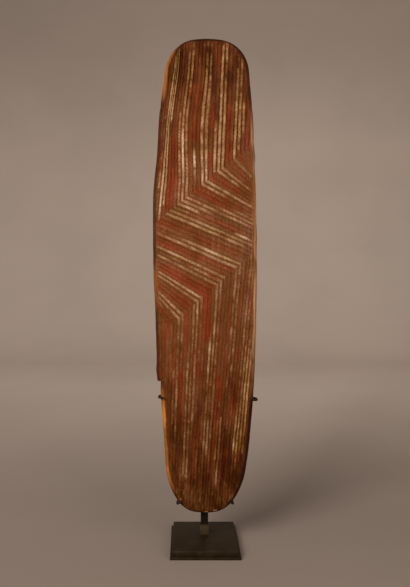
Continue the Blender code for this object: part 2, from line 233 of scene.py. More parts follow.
# %% Blank with its rows and columns
BLANK_HALF_WIDTH = 0.080
BLANK_HALF_DEPTH = 0.010
ROW_SPACING, FIRST_SIDE_ROW = 0.0045, 0.003
END_ROWS, FIRST_END_ROW = 16, 0.35          # the first row, as a share of the next step
CHIP_ROWS, CHIP_CLEARANCE = (-0.0002, 0.0008), 0.001    # two close rows make its step
RIM_CUTS, BACK_COLUMNS = 5, 26
CUT_SNAP = 0.00002
GRIP_ZONE = (0.046, 0.112)  # half width and half length of the part that is cut finer
GRIP_HEIGHT = 0.380


def row_heights():
    """Heights of the level cuts, from just above the lower tip to just below the upper."""
    turns = [math.radians(90 * (i + FIRST_END_ROW) / END_ROWS) for i in range(END_ROWS)]
    low = [LOWER_END[0] * (1 - math.cos(turn)) for turn in turns]
    high = [LENGTH - UPPER_END[0] * (1 - math.cos(turn)) for turn in turns]
    sides = np.arange(LOWER_END[0] + FIRST_SIDE_ROW, LENGTH - UPPER_END[0], ROW_SPACING)
    chip = [CHIP_TOP + step for step in CHIP_ROWS]
    sides = [row for row in sides if min(abs(row - c) for c in chip) > CHIP_CLEARANCE]
    return sorted(low + high + sides + chip)


def cut(point, normal, snap=CUT_SNAP):
    """Cut an edge loop along a plane, through everything that is visible."""
    bpy.ops.mesh.select_all(action="SELECT")
    bpy.ops.mesh.bisect(plane_co=point, plane_no=normal, threshold=snap)


def dividing(parts, half_size):
    """Places that divide a size into equal parts, 0 being its middle."""
    return [half_size * (2 * i / parts - 1) for i in range(1, parts)]


rows = row_heights()
shield = start_cube(
    "shield_carved",
    location=(0, 0, (rows[0] + rows[-1]) / 2),
    scale=(2 * BLANK_HALF_WIDTH, 2 * BLANK_HALF_DEPTH, rows[-1] - rows[0]),
)
for y in dividing(RIM_CUTS + 1, BLANK_HALF_DEPTH):
    cut((0, y, 0), (0, 1, 0))
for height in rows[1:-1]:
    cut((0, 0, height), (0, 0, 1))
pick(shield, "faces", lambda face: face.normal.y < 0.5)
bpy.ops.mesh.hide()
for x in dividing(BACK_COLUMNS, BLANK_HALF_WIDTH):
    cut((x, 0, 0), (1, 0, 0))


def under_grip(face):
    """True for a face of the back in the part that is cut finer."""
    centre = face.calc_center_median()
    return abs(centre.x) < GRIP_ZONE[0] and abs(centre.z - GRIP_HEIGHT) < GRIP_ZONE[1]


pick(shield, "faces", under_grip)
bpy.ops.mesh.subdivide(number_cuts=2)
bpy.ops.mesh.reveal(select=False)
stop_editing()
front_mark = shield.data.attributes.new("front", "INT", "FACE")
front_mark.data.foreach_set("value", [face.normal.y < -0.5 for face in shield.data.polygons])
print(f"blank cut into {len(shield.data.polygons)} faces and {len(rows)} rows")

# %% [markdown]
# ## Bending the blank to its form
# Each point of the blank knows how far across, deep and high it is, and one rule
# moves it to its place on the board.  The sides of the cube become the rounded
# rim.  On the back the same rule also raises the hand grip, a long boss left
# standing when the back was cut away.  Its points are drawn outwards as they rise,
# so they stay evenly spaced down its steep sides, and its foot flares into the
# board as a carved one does.  Last come the shallow dips that the adze left.

# %% The grip, the adze's dips and the uneven edge
GRIP_LENGTH, GRIP_WIDTH, GRIP_SWELL, GRIP_PROUD = 0.150, 0.034, 0.25, 0.036
GRIP_SHOULDER = (0.80, math.radians(72))    # where the boss ends and its flare begins
GRIP_REACH = 1.5                            # end of the flare, 1 being the foot
GRIP_FLARE = (0.28, 1.18)                   # how far its curve runs straight at either end
ADZE_DIP, ADZE_CRISPNESS = 0.00045, 1.6
ADZE_STROKE = (0.017, 0.040)                # width and length of one cut of the adze
ADZE_FREE = (8, 0.02)                       # it fades out at the sides, and near the tips
EDGE_WOBBLE = 0.0005
WOBBLE_LENGTHS = (0.045, 0.012)             # slow and quick waves along the edge
RIM_SHARE = 0.45                            # most of the half width that the rim may take
AT_SIDE = 0.9999                            # a share of the width that counts as all of it
EDGE_DENTS = (              # (side, height, reach, how far in); outwards where negative
    (1, 0.602, 0.016, 0.0011), (1, 0.576, 0.009, -0.0012), (-1, 0.655, 0.007, 0.0007),
    (1, 0.655, 0.006, 0.0007), (-1, 0.236, 0.012, -0.0010),
)


def grip_profile(reach):
    """(distance out, height) on the grip's side for a place from 0 (top) outwards."""
    shoulder, turn = GRIP_SHOULDER
    if reach <= shoulder:
        return math.sin(turn * reach / shoulder), math.cos(turn * reach / shoulder)
    t = (reach - shoulder) / (GRIP_REACH - shoulder)
    start = Vector((math.sin(turn), math.cos(turn)))
    down = start + GRIP_FLARE[0] * Vector((math.cos(turn), -math.sin(turn)))
    bends = (start, down, Vector((GRIP_FLARE[1], 0)), Vector((GRIP_REACH, 0)))
    weights = ((1 - t) ** 3, 3 * t * (1 - t) ** 2, 3 * t * t * (1 - t), t ** 3)
    return sum((bend * weight for bend, weight in zip(bends, weights)), Vector((0, 0)))


def raise_grip(x, height):
    """Where a point of the back goes, and how far the grip lifts it."""
    along = (height - GRIP_HEIGHT) / GRIP_LENGTH
    swell = 1 + GRIP_SWELL * max(0.0, 1 - 4 * along ** 2)
    across = x / (GRIP_WIDTH * swell)
    reach = 2 * math.hypot(across, along)
    if reach >= GRIP_REACH or reach == 0:
        return x, height, GRIP_PROUD if reach == 0 else 0.0
    out, lift = grip_profile(reach)
    along *= out / reach
    across *= out / reach
    swell = 1 + GRIP_SWELL * max(0.0, 1 - 4 * along ** 2)
    return across * GRIP_WIDTH * swell, GRIP_HEIGHT + along * GRIP_LENGTH, lift * GRIP_PROUD


def adzed(x, height):
    """Depth of the adze's dips at a place on the back."""
    place = Vector((x / ADZE_STROKE[0], height / ADZE_STROKE[1], 3.7))
    nearest = noise.voronoi(place)[0][0]
    return ADZE_DIP * max(0.0, 1 - ADZE_CRISPNESS * nearest ** 2)


def edge_wobble(side, height):
    """Small unevenness of the left (-1) or right (1) edge."""
    slow = noise.noise(Vector((side * 9.1, 0, height / WOBBLE_LENGTHS[0])))
    quick = noise.noise(Vector((side * 4.3, 5, height / WOBBLE_LENGTHS[1])))
    wobble = EDGE_WOBBLE * (slow + 0.5 * quick)
    for where, middle, reach, depth in EDGE_DENTS:
        if where == side:
            wobble -= side * depth * max(0.0, 1 - abs(height - middle) / reach)
    return wobble


print(f"grip {1000 * GRIP_LENGTH:.0f} mm long, {1000 * GRIP_PROUD:.0f} mm proud")

# %% Move every point of the blank to its place on the board
def board_layout(height):
    """(middle, half width of the flat face, width of the rounded rim) at a height."""
    left, right = whole_edges(height)
    left += edge_wobble(-1, height)
    right += edge_wobble(1, height)
    half_width = (right - left) / 2
    edge_round = min(EDGE_ROUND, RIM_SHARE * half_width)
    return (left + right) / 2, half_width - edge_round, edge_round


def board_point(across, depth, height):
    """Place on the board of a point of the blank, whose three places are -1 to 1."""
    middle, face, edge_round = board_layout(height)
    least = middle - face + chipped_off(height)
    x = max(middle + across * face, least)
    lift = 0.0
    on_rim = abs(across) > AT_SIDE
    if depth > AT_SIDE and not on_rim:
        x, height, lift = raise_grip(x, height)
    crown = FRONT_CROWN if depth < 0 else BACK_CROWN
    half = half_thickness(height, crown, (x - middle) / face)
    if on_rim:
        turn = depth * math.pi / 2
        x += math.copysign(edge_round, across) * math.cos(turn)
        return Vector((x, half * math.sin(turn), height))
    if depth < 0:
        return Vector((x, -half, height))
    from_tip = min(height, LENGTH - height)
    fade = min(1.0, (1 - abs(across)) * ADZE_FREE[0], from_tip / ADZE_FREE[1])
    return Vector((x, half + lift - fade * adzed(x, height), height))


for vert in shield.data.vertices:
    across = vert.co.x / BLANK_HALF_WIDTH
    vert.co = board_point(across, vert.co.y / BLANK_HALF_DEPTH, vert.co.z)
report(shield)

# %% [markdown]
# ## The hole for the fingers
# A hand goes between the grip and the board, so a slot with rounded ends is cut
# sideways under the grip.  A bevelled cube makes the cutter, and a Boolean takes
# it away.  The sharp mouth of the slot is then eased, as use has worn it.

# %% Cut the finger gap
GAP_LENGTH, GAP_DEPTH, GAP_WIDTH = 0.096, 0.022, 0.120
GAP_RECESS, GAP_CORNER = 0.0006, 0.0105
MOUTH_SLACK, MOUTH_ANGLE, MOUTH_EASING = (0.002, 0.001), 38, 0.0011
STRAIGHT_ACROSS = 0.001     # an edge that runs across has its middle this near x = 0
back_at_grip = half_thickness(GRIP_HEIGHT, BACK_CROWN, 0.0)

cutter = start_cube(
    "finger_gap_cutter",
    location=(0, back_at_grip - GAP_RECESS + GAP_DEPTH / 2, GRIP_HEIGHT),
    scale=(GAP_WIDTH, GAP_DEPTH, GAP_LENGTH),
)
bevel(cutter, lambda edge: abs(middle_of(edge).x) < STRAIGHT_ACROSS, GAP_CORNER, segments=10)
stop_editing()


def choose(piece):
    """Make a piece the active one, and the only one selected."""
    bpy.ops.object.select_all(action="DESELECT")
    bpy.context.view_layer.objects.active = piece
    piece.select_set(True)


def finish_with(piece, kind, **settings):
    """Add a modifier to a piece, set it and apply it."""
    choose(piece)
    modifier = piece.modifiers.new(kind.lower(), kind)
    for name, value in settings.items():
        setattr(modifier, name, value)
    bpy.ops.object.modifier_apply(modifier=modifier.name)


finish_with(shield, "BOOLEAN", operation="DIFFERENCE", object=cutter, solver="EXACT")
bpy.data.objects.remove(cutter, do_unlink=True)


def on_mouth(edge):
    """True for a sharp edge where the slot meets the side of the grip."""
    centre = middle_of(edge)
    behind = centre.y > back_at_grip - MOUTH_SLACK[0]
    beside = abs(centre.z - GRIP_HEIGHT) < GAP_LENGTH / 2 + MOUTH_SLACK[1]
    return behind and beside and is_sharp(edge, MOUTH_ANGLE)


start_editing()
bevel(shield, on_mouth, MOUTH_EASING, segments=2)
stop_editing()
report(shield)

# %% [markdown]
# ## Laying out the flutes
# The carver ran parallel flutes down the front and turned them twice, along two
# slanting lines that climb to the right, called mitres here.  Flutes are stepped
# off evenly along the mitres and counted both ways from flute 0, so one number
# names a flute all the way from the top, across the middle and down to the bottom.
# Between the mitres they fall to the right, and spread like a fan.

# %% Numbers of the flutes and their lines
MITRE_HEIGHTS = (0.537, 0.358)      # upper and lower mitre, on the centre line
MITRE_SLOPES = (0.80, 0.885)
FIRST_TURN = 0.0735                 # x where flute 0 meets the lower mitre
FLUTE_PITCH = (0.0063, 0.0061)      # x from flute to flute along each mitre
FLUTES = range(-30, 29)
SLANT_LEAST, SLANT_SPREAD, SLANT_REACH = 0.40, (0.152, 0.176), 0.032
LEAN_LEAST, LEAN_SPREAD, LEAN_GROWTH = (0.040, 0.021), (0.070, 0.068), (6.0, 1.0)
CUTS_IN_A_FLUTE = (-0.37, -0.19, 0.0, 0.19, 0.37, 0.5)  # 0 is its hollow, 0.5 a ridge

numbers = np.array([flute + place for flute in FLUTES for place in CUTS_IN_A_FLUTE])
from_lower = FIRST_TURN + numbers * FLUTE_PITCH[1]
fall_of_first = SLANT_LEAST + SLANT_SPREAD[1] * math.exp(-FIRST_TURN / SLANT_REACH)
rise_to_first = (MITRE_SLOPES[1] + fall_of_first) * FIRST_TURN
first = MITRE_HEIGHTS[1] + rise_to_first - MITRE_HEIGHTS[0]
from_upper = first / (fall_of_first + MITRE_SLOPES[0]) + numbers * FLUTE_PITCH[0]
falls = SLANT_LEAST + np.where(
    numbers >= 0,
    SLANT_SPREAD[0] * np.exp(from_upper / SLANT_REACH),
    SLANT_SPREAD[1] * np.exp(-from_lower / SLANT_REACH),
)
centre_heights = np.where(
    numbers >= 0,
    MITRE_HEIGHTS[0] + (MITRE_SLOPES[0] + falls) * from_upper,
    MITRE_HEIGHTS[1] + (MITRE_SLOPES[1] + falls) * from_lower,
)
corners = [
    (centre_heights - MITRE_HEIGHTS[mitre]) / (falls + MITRE_SLOPES[mitre]) for mitre in (0, 1)
]
leans = []
for mitre, facing in ((0, -1), (1, 1)):
    towards = np.clip((1 + facing * corners[mitre] / FIRST_TURN) / 2, 0, 1)
    leans.append(LEAN_LEAST[mitre] + LEAN_SPREAD[mitre] * towards ** LEAN_GROWTH[mitre])

# %% Zones between the mitres, and the lines in each
def mitre_height(mitre, x):
    """Height of a mitre line at x, 0 the upper or 1 the lower."""
    return MITRE_HEIGHTS[mitre] + MITRE_SLOPES[mitre] * x


def zone_at(x, height):
    """1 above the upper mitre, 2 between the mitres, 3 below the lower one."""
    if height > mitre_height(0, x):
        return 1
    return 2 if height > mitre_height(1, x) else 3


def lines_of(zone):
    """A point and the direction of every line that is scored in a zone."""
    mitre = zone // 2
    for i in range(len(numbers)):
        if zone == 2:
            yield Vector((0, 0, centre_heights[i])), Vector((1, 0, -falls[i]))
        else:
            x = corners[mitre][i]
            yield Vector((x, 0, mitre_height(mitre, x))), Vector((leans[mitre][i], 0, 1))


print(f"{len(numbers)} lines to score for {len(FLUTES)} flutes")

# %% [markdown]
# ## Scoring the flutes
# Ridges, hollows and the steps between them are cut one line at a time, straight
# through the front, each only in its own zone.  Everything else is hidden while
# that happens, because a cut goes through all that is visible.

# %% Score every line on the front
SLANT_COLUMNS = np.arange(-0.078, 0.080, 0.006)     # x of upright cuts between the mitres
SCORE_SNAP = 0.00016


def score(point, direction):
    """Cut one line across all the visible faces."""
    cut(point, direction.cross(Vector((0, 1, 0))), SCORE_SNAP)


def show_front(*zones):
    """In edit mode, hide every face but those of the front in some of the zones."""
    bpy.ops.mesh.reveal(select=False)
    front = bmesh.from_edit_mesh(shield.data).faces.layers.int["front"]

    def elsewhere(face):
        centre = face.calc_center_median()
        return not (face[front] and zone_at(centre.x, centre.z) in zones)

    pick(shield, "faces", elsewhere)
    bpy.ops.mesh.hide()


def reaches(point, direction, places):
    """True if a line passes between the given places on the front."""
    across = direction.cross(Vector((0, 1, 0))).normalized()
    sides = places @ np.array((across.x, across.z)) - across.dot(point)
    return sides.min() < -SCORE_SNAP and sides.max() > SCORE_SNAP


start_editing()
show_front(1, 2, 3)
for height, slope in zip(MITRE_HEIGHTS, MITRE_SLOPES):
    score(Vector((0, 0, height)), Vector((1, 0, slope)))
scored = 0
for zone in (1, 2, 3):
    show_front(zone)
    open_verts = [vert for vert in bmesh.from_edit_mesh(shield.data).verts if not vert.hide]
    places = np.array([(vert.co.x, vert.co.z) for vert in open_verts])
    if zone == 2:
        for x in SLANT_COLUMNS:
            score(Vector((x, 0, 0)), Vector((0, 0, 1)))
    for point, direction in lines_of(zone):
        if reaches(point, direction, places):
            score(point, direction)
            scored += 1
bpy.ops.mesh.reveal(select=False)
stop_editing()
print(f"{scored} cuts scored")
report(shield)

# %% [markdown]
# ## Pressing the hollows
# Every corner of the front now lies on a numbered line.  Its number and how far it
# is along its flute are kept as a UV map, so that the paint can follow the flutes
# round their turns.  Then each corner goes back by the depth of a gouge cut, with
# sharp ridges and round hollows.  Flutes made by hand wander, and are deeper here
# and shallower there, so noise shifts them a little sideways and changes their depth.

# %% Sizes of a flute, and the number of any place
FLUTE_DEPTH = 0.00125
DEPTH_UNEVENNESS = 0.32
FLUTE_FADE = 0.0040         # the flutes run out this close to the rounded edge
TIP_MARGIN = 0.004          # nothing is carved this close to a tip
WANDER, SWELL = 0.0006, 0.0002
STROKE_LENGTH = 0.011       # one push of the gouge
ZONE_STEP = 100             # taken off the numbers above the mitres, added to those below
BOW, BOW_HEIGHT, BOW_REACH = 0.0048, 0.625, 0.090   # swing of the upper flutes to the left
BOW_START, BOW_WIDTH, BOW_INSET = 0.022, 0.030, 0.024   # from x, over, and from the rim


def flute_numbers(zone, x, height):
    """Flute numbers at places in one zone of the front."""
    if zone == 2:
        order = centre_heights[None, :] - falls[None, :] * x[:, None]
        return np.array([np.interp(h, row, numbers) for h, row in zip(height, order)])
    mitre = zone // 2
    start = mitre_height(mitre, corners[mitre])
    order = corners[mitre][None, :] + leans[mitre][None, :] * (height[:, None] - start[None, :])
    return np.array([np.interp(place, row, numbers) for place, row in zip(x, order)])


def distance_along(zone, x, height, flute):
    """How far up its flute each place is from where that flute turns at the upper mitre."""
    turns = [np.interp(flute, numbers, corners[mitre]) for mitre in (0, 1)]
    fall = np.interp(flute, numbers, falls)
    slanting = np.hypot(1, fall)
    if zone == 2:
        down = height - mitre_height(0, turns[0])
        return (down * fall - (x - turns[0])) / slanting
    mitre = zone // 2
    lean = np.interp(flute, numbers, leans[mitre])
    along = height - mitre_height(mitre, turns[mitre]) + lean * (x - turns[mitre])
    return along - (slanting * (turns[1] - turns[0]) if zone == 3 else 0)


# %% Number the corners of the front
mesh = shield.data
xyz = np.empty(len(mesh.vertices) * 3)
mesh.vertices.foreach_get("co", xyz)
xyz = xyz.reshape(-1, 3)
flute_uv = np.zeros((len(mesh.loops), 2))
number_of = np.full(len(mesh.vertices), np.nan)
along_of = np.zeros(len(mesh.vertices))
zone_faces = {1: [], 2: [], 3: []}
for face, front in zip(mesh.polygons, mesh.attributes["front"].data):
    if front.value:
        zone_faces[zone_at(face.center.x, face.center.z)].append(face)
vertex_of_loop = np.empty(len(mesh.loops), int)
mesh.loops.foreach_get("vertex_index", vertex_of_loop)
for zone, faces in zone_faces.items():
    loops = np.concatenate([face.loop_indices for face in faces])
    vertices, back_to_loops = np.unique(vertex_of_loop[loops], return_inverse=True)
    number = flute_numbers(zone, xyz[vertices, 0], xyz[vertices, 2])[back_to_loops]
    sides = [face.loop_total for face in faces]
    starts = np.cumsum([0] + sides[:-1])
    flute = np.round(np.repeat(np.add.reduceat(number, starts) / sides, sides))
    x, height = xyz[vertex_of_loop[loops], 0], xyz[vertex_of_loop[loops], 2]
    flute_uv[loops, 0] = number + ZONE_STEP * (zone - 2)
    flute_uv[loops, 1] = distance_along(zone, x, height, flute)
    number_of[vertex_of_loop[loops]] = number
    along_of[vertex_of_loop[loops]] = flute_uv[loops, 1]
uv_map = mesh.uv_layers.get("flutes") or mesh.uv_layers.new(name="flutes")
uv_map.data.foreach_set("uv", flute_uv.ravel())
print(np.count_nonzero(~np.isnan(number_of)), "corners numbered")

# %% Press the hollows and crown the front
def smooth_noise(*place):
    """Smooth noise between about -1 and 1 at a place."""
    return noise.noise(Vector(place))


def rim_distance(x, height):
    """Distance of a place on the front from the nearest side or tip."""
    middle, face = board_layout(height)[:2]
    left = x - (middle - face) - chipped_off(height)
    right = middle + face - x
    top = LENGTH - TIP_MARGIN - height
    return max(0.0, min(left, right, height - TIP_MARGIN, top))


def eased(value):
    """Step from 0 to 1 with soft ends."""
    share = min(max(value, 0.0), 1.0)
    return share * share * (3 - 2 * share)


def bowed(x, height):
    """How far the upper flutes swing to the left at a place, as the carver's hand did."""
    above = (height - BOW_HEIGHT) / BOW_REACH
    bow = BOW * max(0.0, 1 - above * above) ** 2
    from_right = eased((BOW_START - x) / BOW_WIDTH)
    return bow * from_right * eased(rim_distance(x, height) / BOW_INSET)


def pressed(x, height, number, along):
    """Place on the finished front of a corner that was scored at (x, height)."""
    strength = eased(rim_distance(x, height) / FLUTE_FADE)
    flute = math.floor(number + 0.5)
    hollow = 1 - (2 * (number - flute)) ** 2
    stroke = math.floor(along / STROKE_LENGTH + 0.6 * smooth_noise(flute * 3.1, 0, 0))
    uneven = 0.6 * smooth_noise(flute * 1.7, along / 0.05, 1)
    uneven += 0.4 * smooth_noise(flute * 2.3, stroke * 0.77, 9)
    depth = FLUTE_DEPTH * (1 + DEPTH_UNEVENNESS * uneven)
    swell = SWELL * smooth_noise(x / 0.03, height / 0.06, 4)
    middle, face = board_layout(height)[:2]
    x_on_face = (x - bowed(x, height) - middle) / face
    half = half_thickness(height, FRONT_CROWN, x_on_face)
    x += strength * WANDER * smooth_noise(x / 0.02, height / 0.045, 2)
    height += strength * WANDER * smooth_noise(x / 0.035, height / 0.03, 6)
    x -= bowed(x, height)
    return x, -half + strength * (depth * hollow + swell), height


for i in np.flatnonzero(~np.isnan(number_of)):
    xyz[i] = pressed(xyz[i, 0], xyz[i, 2], number_of[i], along_of[i])
mesh.vertices.foreach_set("co", xyz.ravel())
mesh.update()
report(shield)

# %% [markdown]
# ## What the paint needs to know
# Three more facts are kept on the corners, because the finish depends on them: how
# strongly a place is carved, how far it is from the rim, and how exposed its edge
# has been.  The rim was rubbed down to raw wood in some stretches: low on the left,
# along the right side above the middle, and at the upper left.

# %% Keep the carving, the rim and the bare edges as attributes
FACTS = ("carved", "inside_rim", "bare_rim")
RIM_REACH = 0.010           # further in, a place counts as well inside
BARE_FADE = 2.5
BARE_STRETCHES = (          # (side, middle height, half length, how bare)
    (-1, 0.125, 0.092, 1.0), (-1, 0.705, 0.046, 0.6), (-1, 0.370, 0.040, 0.25),
    (1, 0.430, 0.240, 0.62), (1, 0.590, 0.055, 0.45),
)


def bareness(x, height):
    """How far the rim at this height is rubbed down to raw wood, 0 to 1."""
    side = -1 if x < 0 else 1
    bare = 0.0
    for where, middle, half_length, share in BARE_STRETCHES:
        if where == side:
            out = min(1.0, abs(height - middle) / half_length)
            bare = max(bare, share * (1 - out ** BARE_FADE))
    return bare


facts = {name: np.zeros(len(mesh.vertices)) for name in FACTS}
for i, (x, y, height) in enumerate(xyz):
    inside = rim_distance(x, height)
    facts["inside_rim"][i] = min(1.0, inside / RIM_REACH)
    facts["bare_rim"][i] = bareness(x, height)
    if not math.isnan(number_of[i]):
        facts["carved"][i] = min(1.0, inside / FLUTE_FADE)
for name, values in facts.items():
    mesh.attributes.new(name, "FLOAT", "POINT").data.foreach_set("value", values)

# %% [markdown]
# ## Putting the shield on its post
# Until now the shield lay about its own lower tip.  It moves to where the solid is:
# its back touches the post, as far up as the post's top.  Smooth shading stops at
# the sharp ridges, so they stay crisp.

# %% Place the shield
SHIELD_LIFT = 0.0564        # lower tip above the ground
GAP = 0.0003                # left between pieces that touch
SMOOTH_UP_TO = math.radians(40)
post_low, post_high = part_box("stand_post")
back_at_post = half_thickness(post_high.z - SHIELD_LIFT, BACK_CROWN, 0.0)
middle_y = post_low.y - GAP - back_at_post


def finish_piece(piece, slot_name, *nodes):
    """Shade a piece, let it ride on the frame and stand for its CAD nodes."""
    stop_editing()
    choose(piece)
    bpy.ops.object.shade_smooth_by_angle(angle=SMOOTH_UP_TO)
    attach(piece, "root")
    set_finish(piece, slot_name)
    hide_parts(*nodes)
    report(piece)


start_editing()
bpy.ops.mesh.select_all(action="SELECT")
bpy.ops.transform.translate(value=(0, middle_y, SHIELD_LIFT))
finish_piece(shield, "ochred_wood", "shield")

# %% [markdown]
# ## The base
# The base is two square steel plates, one on the other.  The lower one is a little
# larger, so its edge shows as a step.  Steel plate comes with crisp edges that the
# maker files off: a clear chamfer round the top of the upper plate, and a hair of
# rounding on the lower one.  Their undersides are hollowed slightly, as plates
# that stand on a rim do.

# %% Make the two plates
PLATE_EDGE, PLATE_RIM, PLATE_HOLLOW = 0.0005, 0.0035, 0.0008
BLOCK_CHAMFER, BLOCK_EDGE, BLOCK_RIM, BLOCK_HOLLOW = 0.0012, 0.00025, 0.0040, 0.0006
LEVEL = 0.999               # a face looks straight up when its normal's z is above this
JUST_UNDER = 0.00001


def block_from(node, name):
    """Start a piece as a cube that fills a CAD node's box, open in edit mode."""
    low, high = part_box(node)
    return start_cube(name, (low + high) / 2, high - low)


def hollow_underside(piece, rim, depth):
    """Sink the underside of a plate, leaving a rim to stand on."""
    pick(piece, "faces", lambda face: face.normal.z < -LEVEL)
    bpy.ops.mesh.inset(thickness=rim)
    bpy.ops.transform.translate(value=(0, 0, depth))


plate = block_from("stand_base_plate", "base_plate")
bevel(plate, is_sharp, PLATE_EDGE, segments=3)
hollow_underside(plate, PLATE_RIM, PLATE_HOLLOW)
finish_piece(plate, "black_base", "stand_base_plate")

block = block_from("stand_base_block", "base_block")
just_under_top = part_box("stand_base_block")[1].z - JUST_UNDER
bevel(block, lambda edge: middle_of(edge).z > just_under_top, BLOCK_CHAMFER, segments=1)
bevel(block, lambda edge: is_sharp(edge, 30), BLOCK_EDGE, segments=2)
hollow_underside(block, BLOCK_RIM, BLOCK_HOLLOW)
finish_piece(block, "black_base", "stand_base_block")

# %% [markdown]
# ## The post and its socket
# The post is square bar.  It plugs into a short length of square tube welded to the
# base, so the stand can be taken apart.  The tube is a cube with both ends inset,
# and the two inner faces bridged through to make its bore.

# %% Make the post and the socket
POST_EDGE, SOCKET_EDGE = 0.0008, 0.00028

post = block_from("stand_post", "post")
bevel(post, is_sharp, POST_EDGE, segments=3)
finish_piece(post, "black_rod", "stand_post")

socket = block_from("stand_post_socket", "post_socket")
socket_low, socket_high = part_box("stand_post_socket")
wall = (socket_high.x - socket_low.x - (post_high.x - post_low.x)) / 2 - GAP
pick(socket, "faces", lambda face: abs(face.normal.z) > LEVEL)
bpy.ops.mesh.inset(thickness=wall)
bpy.ops.mesh.bridge_edge_loops()
bevel(socket, is_sharp, SOCKET_EDGE, segments=2)
finish_piece(socket, "black_rod", "stand_post_socket")

# %% [markdown]
# ## The four hooks
# Two round rods cross the back of the post, and their ends are bent forward round
# the shield.  The upper rod hooks over both edges and sits slightly askew, and the
# lower one carries the shield under its rounded end.  Each is drawn as a wire from
# corner to corner, which a vertex bevel rounds at its bends, and is then thickened.

# %% Lay out the four hooks
ROD_RADIUS, ROD_BEND, ROD_END = 0.0017, 0.0040, 0.0007
ROD_BEHIND = (0.0070, 0.0062)       # of the upper and lower rod, behind the board's middle
ROD_ON_POST = 0.022                 # half the straight part across the post
UPPER_ROD_HEIGHT, UPPER_ROD_TILT = 0.2462, -0.026
UPPER_SPARE, UPPER_TIP = (0.0012, 0.0038), (0.0045, 0.0022)     # left and right hook
LOWER_ROD_HEIGHT, LOWER_REST, LOWER_TIP = 0.0700, 0.0180, 0.0052
SLOPE_STEP = 0.002                  # height over which the edge's slope is taken
WELD = 0.00001
behind_post = post_high.y + GAP + ROD_RADIUS
beside_board, beside_end = (middle_y + behind for behind in ROD_BEHIND)


def edge_x(side, height):
    """x of the left (-1) or right (1) edge at a height above the lower tip."""
    left, right = whole_edges(height)
    return left + chipped_off(height) if side < 0 else right


def front_y(height, x):
    """y of the shield's front at a height above its lower tip."""
    left, right = edge_x(-1, height), edge_x(1, height)
    across = (2 * x - left - right) / (right - left)
    return middle_y - half_thickness(height, FRONT_CROWN, max(-1, min(1, across)))


def upper_hook(side, spare, lap):
    """Corners of an upper hook, from its tip to the post."""
    edge = edge_x(side, UPPER_ROD_HEIGHT - SHIELD_LIFT)
    out = edge + side * (ROD_RADIUS + GAP + spare)
    tip = edge - side * lap
    front = front_y(UPPER_ROD_HEIGHT - SHIELD_LIFT, tip) - ROD_RADIUS - 2 * GAP
    route = [(tip, front), (out, front), (out, beside_board), (side * ROD_ON_POST, behind_post)]
    return [Vector((x, y, UPPER_ROD_HEIGHT + UPPER_ROD_TILT * x)) for x, y in route]


def lower_hook(side):
    """Corners of a lower hook, from its tip to the post."""
    rest, above = edge_x(side, LOWER_REST), edge_x(side, LOWER_REST + SLOPE_STEP)
    slope = Vector((above - rest, SLOPE_STEP)).normalized()
    outward = Vector((side * slope.y, -side * slope.x))
    edge = Vector((rest, SHIELD_LIFT + LOWER_REST))
    under = edge + outward * (ROD_RADIUS + 2 * GAP)
    tip = edge - outward * LOWER_TIP
    front = front_y(tip.y - SHIELD_LIFT, tip.x) - ROD_RADIUS - 2 * GAP
    return [
        Vector((tip.x, front, tip.y)),
        Vector((under.x, front, under.y)),
        Vector((under.x, beside_end, under.y)),
        Vector((side * ROD_ON_POST, behind_post, LOWER_ROD_HEIGHT)),
    ]

# %% Bend the rods
def draw_wire(name, corners):
    """Wire of single edges through some corners, with its bends rounded."""
    wire = start_piece(name, bpy.ops.mesh.primitive_plane_add, size=0.01, location=corners[0])
    start_editing()
    bpy.ops.mesh.select_mode(type="VERT")
    bpy.ops.mesh.select_all(action="SELECT")
    bpy.ops.mesh.merge(type="CENTER")
    for before, corner in zip(corners, corners[1:]):
        step = {"value": corner - before}
        bpy.ops.mesh.extrude_vertices_move(TRANSFORM_OT_translate=step)
    bm = bmesh.from_edit_mesh(wire.data)
    for vert in bm.verts:
        vert.select_set(len(vert.link_edges) == 2)
    bmesh.update_edit_mesh(wire.data)
    bpy.ops.mesh.bevel(offset=ROD_BEND, segments=10, affect="VERTICES")
    stop_editing()


def bend_rod(name, corners, node):
    """Round rod through some corners, with eased ends."""
    draw_wire(name, corners)
    bpy.ops.object.convert(target="CURVE")
    curve = bpy.context.object.data
    curve.bevel_depth = ROD_RADIUS
    curve.bevel_resolution = 4
    curve.use_fill_caps = True
    bpy.ops.object.convert(target="MESH")
    rod = bpy.context.object
    rod.name = rod.data.name = name
    start_editing()
    bpy.ops.mesh.remove_doubles(threshold=WELD)
    bevel(rod, is_sharp, ROD_END, segments=3)
    bpy.ops.mesh.select_all(action="SELECT")
    bpy.ops.mesh.normals_make_consistent(inside=False)
    finish_piece(rod, "black_rod", node)


upper_left, upper_right = (
    upper_hook(side, spare, lap) for side, spare, lap in zip((-1, 1), UPPER_SPARE, UPPER_TIP)
)
bend_rod("upper_hooks", upper_left + upper_right[::-1], "stand_upper_prongs")
bend_rod("lower_hooks", lower_hook(-1) + lower_hook(1)[::-1], "stand_lower_prongs")

# %% [markdown]
# ## Wiring materials in code
# A node material is a chain of small steps.  Here what a node puts out is wrapped as
# a Value, and arithmetic with it adds the next node, so that a finish can be written
# down almost as a recipe.  Colours are named by the value they have on a screen and
# turned into the linear values that Blender uses.

# %% Helpers for wiring nodes
def colour(red, green, blue):
    """Linear colour of a screen value from 0 to 255."""
    return (*((value / 255) ** 2.2 for value in (red, green, blue)), 1.0)


def feed(socket, value):
    """Join a value to a socket, or set the socket's own number or colour."""
    if isinstance(value, Value):
        socket.id_data.links.new(value.output, socket)
    else:
        socket.default_value = value


